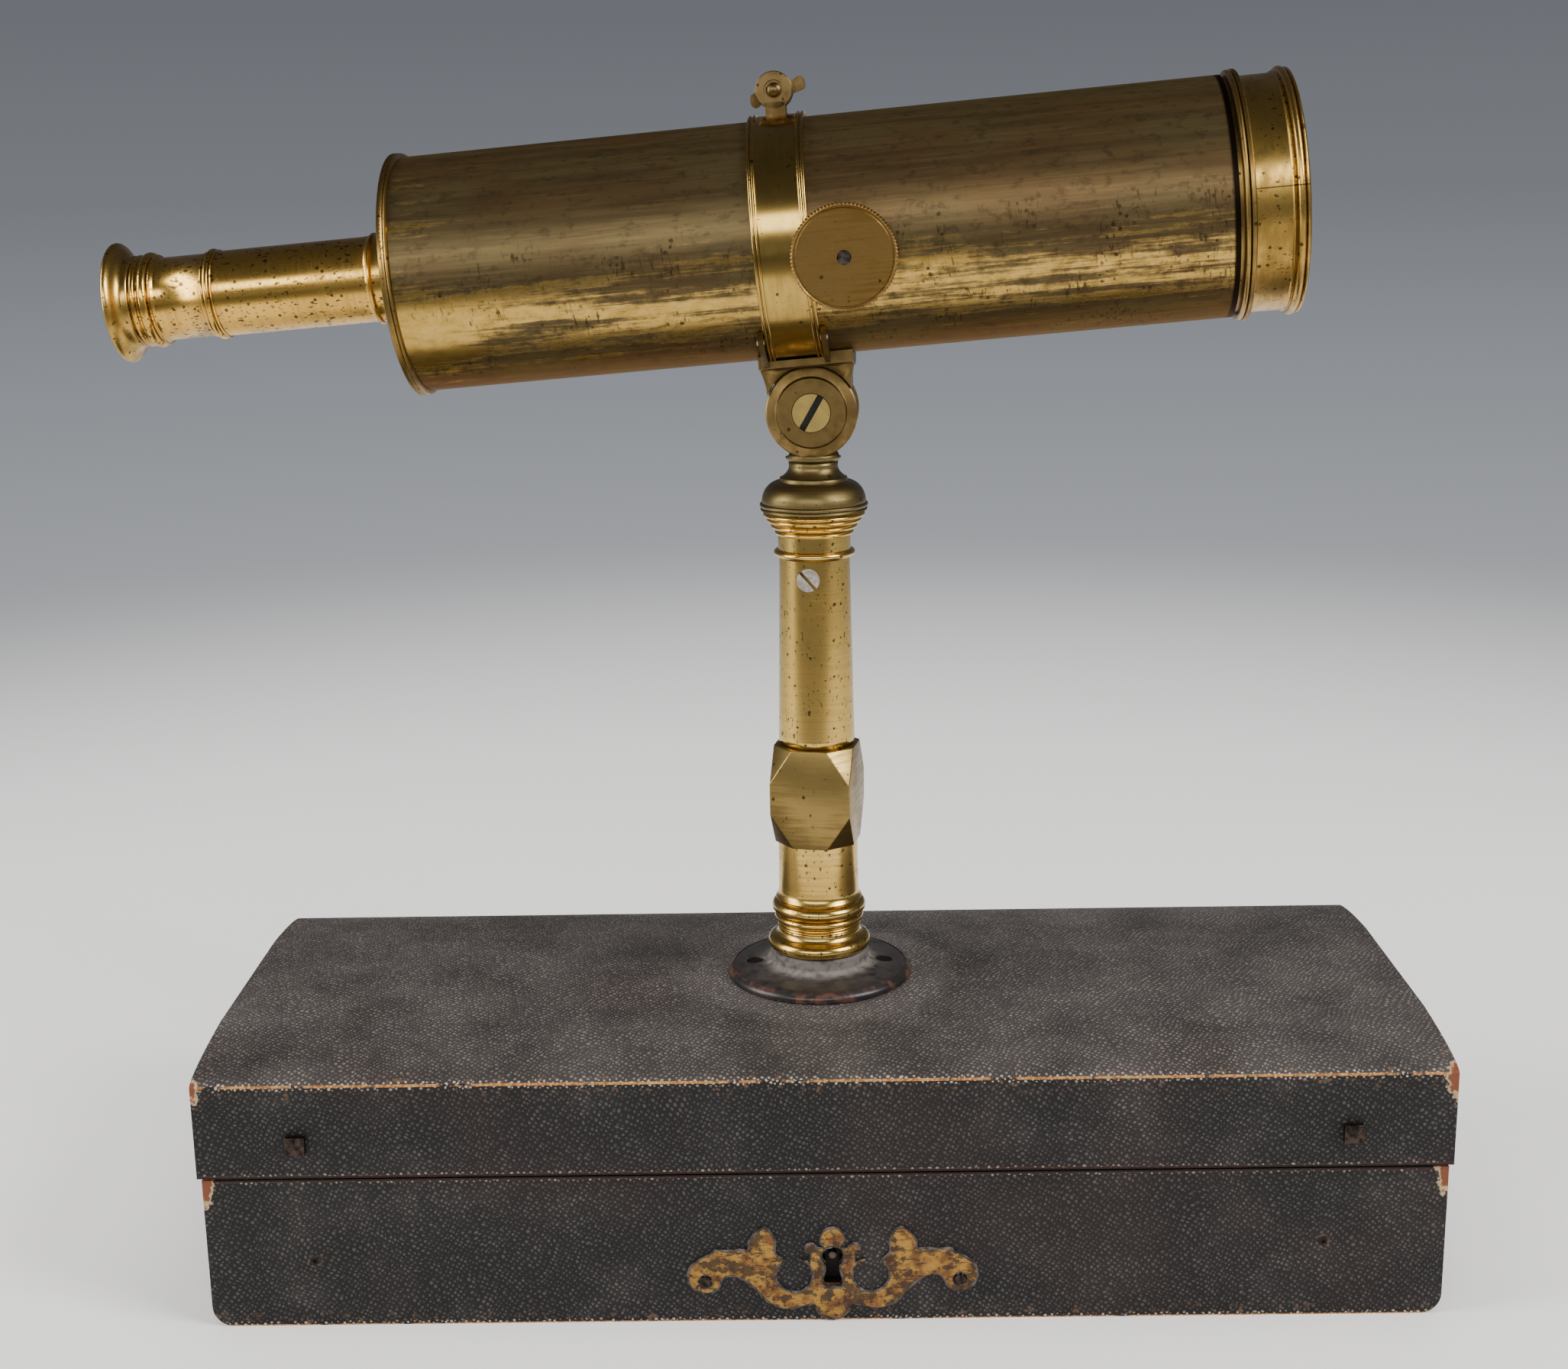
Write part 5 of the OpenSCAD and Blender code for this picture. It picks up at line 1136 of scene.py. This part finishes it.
# %% Keyhole plate
SLOPE_WIDTH = 0.6 * MM
SLOPE_DEPTH = 0.45 * MM
plate = bmesh.new()
plate.from_mesh(frame["nodes"]["escutcheon"].data)
bmesh.ops.remove_doubles(plate, verts=plate.verts, dist=NEAR)
front = {face for face in plate.faces if face.normal.y < -0.99}
inner = {vert for face in front for vert in face.verts}
rim = bmesh.ops.inset_region(
    plate, faces=list(front), thickness=SLOPE_WIDTH, use_boundary=True, use_even_offset=False
)
outer = {vert for face in rim["faces"] for vert in face.verts} - inner
for vert in outer:
    vert.co.y += SLOPE_DEPTH
plate.normal_update()
for face in plate.faces:
    face.material_index = int(face not in front)
finish(plate, [gilding, cast_edge], "escutcheon", 30, outward=False)
print("keyhole plate: edge of", len(outer), "points set back")

# %% [markdown]
# What is left is inside or hidden, and keeps the solid's mesh with a finish laid on it.

# %% Inner pieces
inner_finishes = [
    (pine, "base_floor base_carcass lid_carcass"),
    (wool, "base_lining lid_lining cradles"),
    (screw_steel, "base_hinge_screws lid_hinge_screws lock_bolt cell_screws"),
    (lock_black, "lock_body"),
    (rim_brass, "lock_staple flange_bush mirror_spring focus_pinion focus_slide slide_guides"),
    (rim_brass, "secondary_arm secondary_cell"),
    (eye_brass, "field_lens_ring eye_stop"),
    (glass, "field_lens eye_lens"),
    (speculum, "secondary_mirror"),
]
for material, node_names in inner_finishes:
    for node_name in node_names.split():
        mesh = frame["nodes"][node_name].data
        mesh.materials.clear()
        mesh.materials.append(material)
print("inner pieces:", sum(len(node_names.split()) for _, node_names in inner_finishes))

# %% [markdown]
# The telescope stands on pale paper. Near the case the paper is lit by the lamps, so that soft
# shadows fall on it. Further off it fades to slate, as studio paper does when the light falls away,
# and there it gives off its own light, so that the lamps leave no pools on it. In front, where the
# paper ends, a dark strip of painted shade stands for the unlit room beyond, and fades out to the
# sides. Old brass shows it as the dark band across its highlights.

# %% Floor
UNLIT_ROOM_SHADE = "#303338"
FLOOR_RADIUS = 40
PAPER_FADES = [(0.03, "#777a80"), (0.25, "#8b8e95"), (0.6, "#a0a3a8"), (1.1, "#b4b7ba")]
PAPER_FADES += [(1.7, "#c6c6c8")]


def studio_paper(name):
    """Pale near the object, slate far away, with a dark strip of painted shade past the paper's
    front edge.
    """
    material, tree = new_material(name)
    parts = add(tree, "SeparateXYZ", add(tree, "TexCoord").node.outputs["Object"]).node.outputs
    away = from_middle(tree, parts)
    nearness = add(tree, "Math", away, 0.12, operation="ADD")
    nearness = add(tree, "Math", 1.0, nearness, operation="DIVIDE")
    tone = ramp(tree, nearness, [(mark, colour(code)) for mark, code in PAPER_FADES])
    past_edge = add(tree, "Math", parts[0], 0.24, parts[1], operation="MULTIPLY_ADD")
    sideways = add(tree, "Math", parts[0], operation="ABSOLUTE")
    # Painted shade: the unlit room past the paper's front edge darkens both the lit and the glowing
    # paper.
    shade_past_edge = ((past_edge, -0.44, -0.6), (past_edge, -1.9, -1.1), (sideways, 2.2, 0.9, 0.0, 0.85))
    dark = (*shade_past_edge, UNLIT_ROOM_SHADE)
    lamp_lit = amount(tree, (away, 1.3, 0.45))
    return shade(material, {
        "Base Color": layered(tree, "#000000", (lamp_lit, layered(tree, "#f0edea", dark))),
        "Emission Color": layered(tree, tone, dark),
        "Emission Strength": add(tree, "Math", lamp_lit, -0.92, 1.0, operation="MULTIPLY_ADD"),
        "Specular IOR Level": 0.0,
    })


floor_bm = bmesh.new()
bmesh.ops.create_circle(floor_bm, cap_ends=True, segments=96, radius=FLOOR_RADIUS)
floor = linked("paper floor", mesh_of(floor_bm, "paper floor"))
floor.data.materials.append(studio_paper("studio paper"))
print("floor:", FLOOR_RADIUS, "m round the object")

# %% [markdown]
# The main soft box stands high on the right, and a taller one on the left. A wide one behind the
# camera draws the bright line along the barrel and the clamp. Two more lamps aren't seen in the
# brass: a broad one overhead lights the case, and a weak one behind lights the back.

# %% Lamps
def soft_box(name, location, width, height, power, target):
    """A rectangular area light that points at a target."""
    light = bpy.data.lights.new(name, "AREA")
    light.shape = "RECTANGLE"
    light.size = width
    light.size_y = height
    light.energy = power
    lamp = linked(name, light)
    lamp.location = location
    lamp.rotation_euler = (Vector(target) - Vector(location)).to_track_quat("-Z", "Y").to_euler()
    return lamp


soft_box("right soft box", (1.0, -0.55, 0.95), 0.6, 0.7, 19, (0, 0, 0.2))
soft_box("left soft box", (-1.2, -0.25, 0.6), 0.6, 1.0, 17, (0, 0, 0.2))
soft_box("camera soft box", (-0.35, -1.75, 0.85), 2.2, 0.5, 21, (-0.1, 0, 0.25))
overhead = soft_box("overhead lamp", (0, 0.1, 1.6), 1.6, 1.2, 17, (0, 0, 0))
rear = soft_box("rear lamp", (0.3, 1.7, 0.9), 1.0, 0.6, 6, (0, 0, 0.1))
for lamp in (overhead, rear):
    lamp.visible_glossy = False
print("lamps:", len(bpy.data.lights))

# %% [markdown]
# The room round the object is slate, and darker overhead, so the top of the barrel stays dark too.
# The ramp follows the height of the direction in which one looks, from -1 to 1.

# %% Room
SKIES = [(-0.1, "#777a80"), (0.0, "#777a80"), (0.08, "#6b6e74"), (0.4, "#55565b"), (1.0, "#505156")]
world = bpy.data.worlds.new("room")
bpy.context.scene.world = world
world.use_nodes = True
world_tree = world.node_tree
toward = add(world_tree, "TexCoord").node.outputs["Generated"]
elevation = add(world_tree, "SeparateXYZ", toward).node.outputs[2]
sky = ramp(world_tree, elevation, [(height, colour(code)) for height, code in SKIES])
feed(world_tree, world_tree.nodes["Background"].inputs["Color"], sky)
print("room:", len(SKIES), "tones from floor to ceiling")

# %% [markdown]
# The camera stands a little above the barrel and looks down, 13.5 degrees below the level. Its
# place and angles were found by fitting the case's corners and the pillar to the photograph.

# %% Camera
PHOTO_WIDTH = 2053
FOCAL_PIXELS = 2804.5
SENSOR_WIDTH = 36.0
camera_place = Vector((-3.35, -616.4, 317.7)) * MM
down, left_turn, roll = (math.radians(a) for a in (13.543, -0.573, -0.933))
level_look = (math.sin(left_turn), math.cos(left_turn))
look = Vector((*(part * math.cos(down) for part in level_look), -math.sin(down)))
level_right = Vector((math.cos(left_turn), -math.sin(left_turn), 0))
level_up = level_right.cross(look)
right = level_right * math.cos(roll) + level_up * math.sin(roll)
up = -level_right * math.sin(roll) + level_up * math.cos(roll)
camera_data = bpy.data.cameras.new("camera")
camera_data.sensor_width = SENSOR_WIDTH
camera_data.sensor_fit = "HORIZONTAL"
camera_data.lens = FOCAL_PIXELS * SENSOR_WIDTH / PHOTO_WIDTH
camera_data.clip_start = 0.01
camera_data.clip_end = 100
camera = linked("camera", camera_data)
camera.matrix_world = directions(right, up, -look, camera_place)
bpy.context.scene.camera = camera
print("camera lens", round(camera_data.lens, 2), "mm")
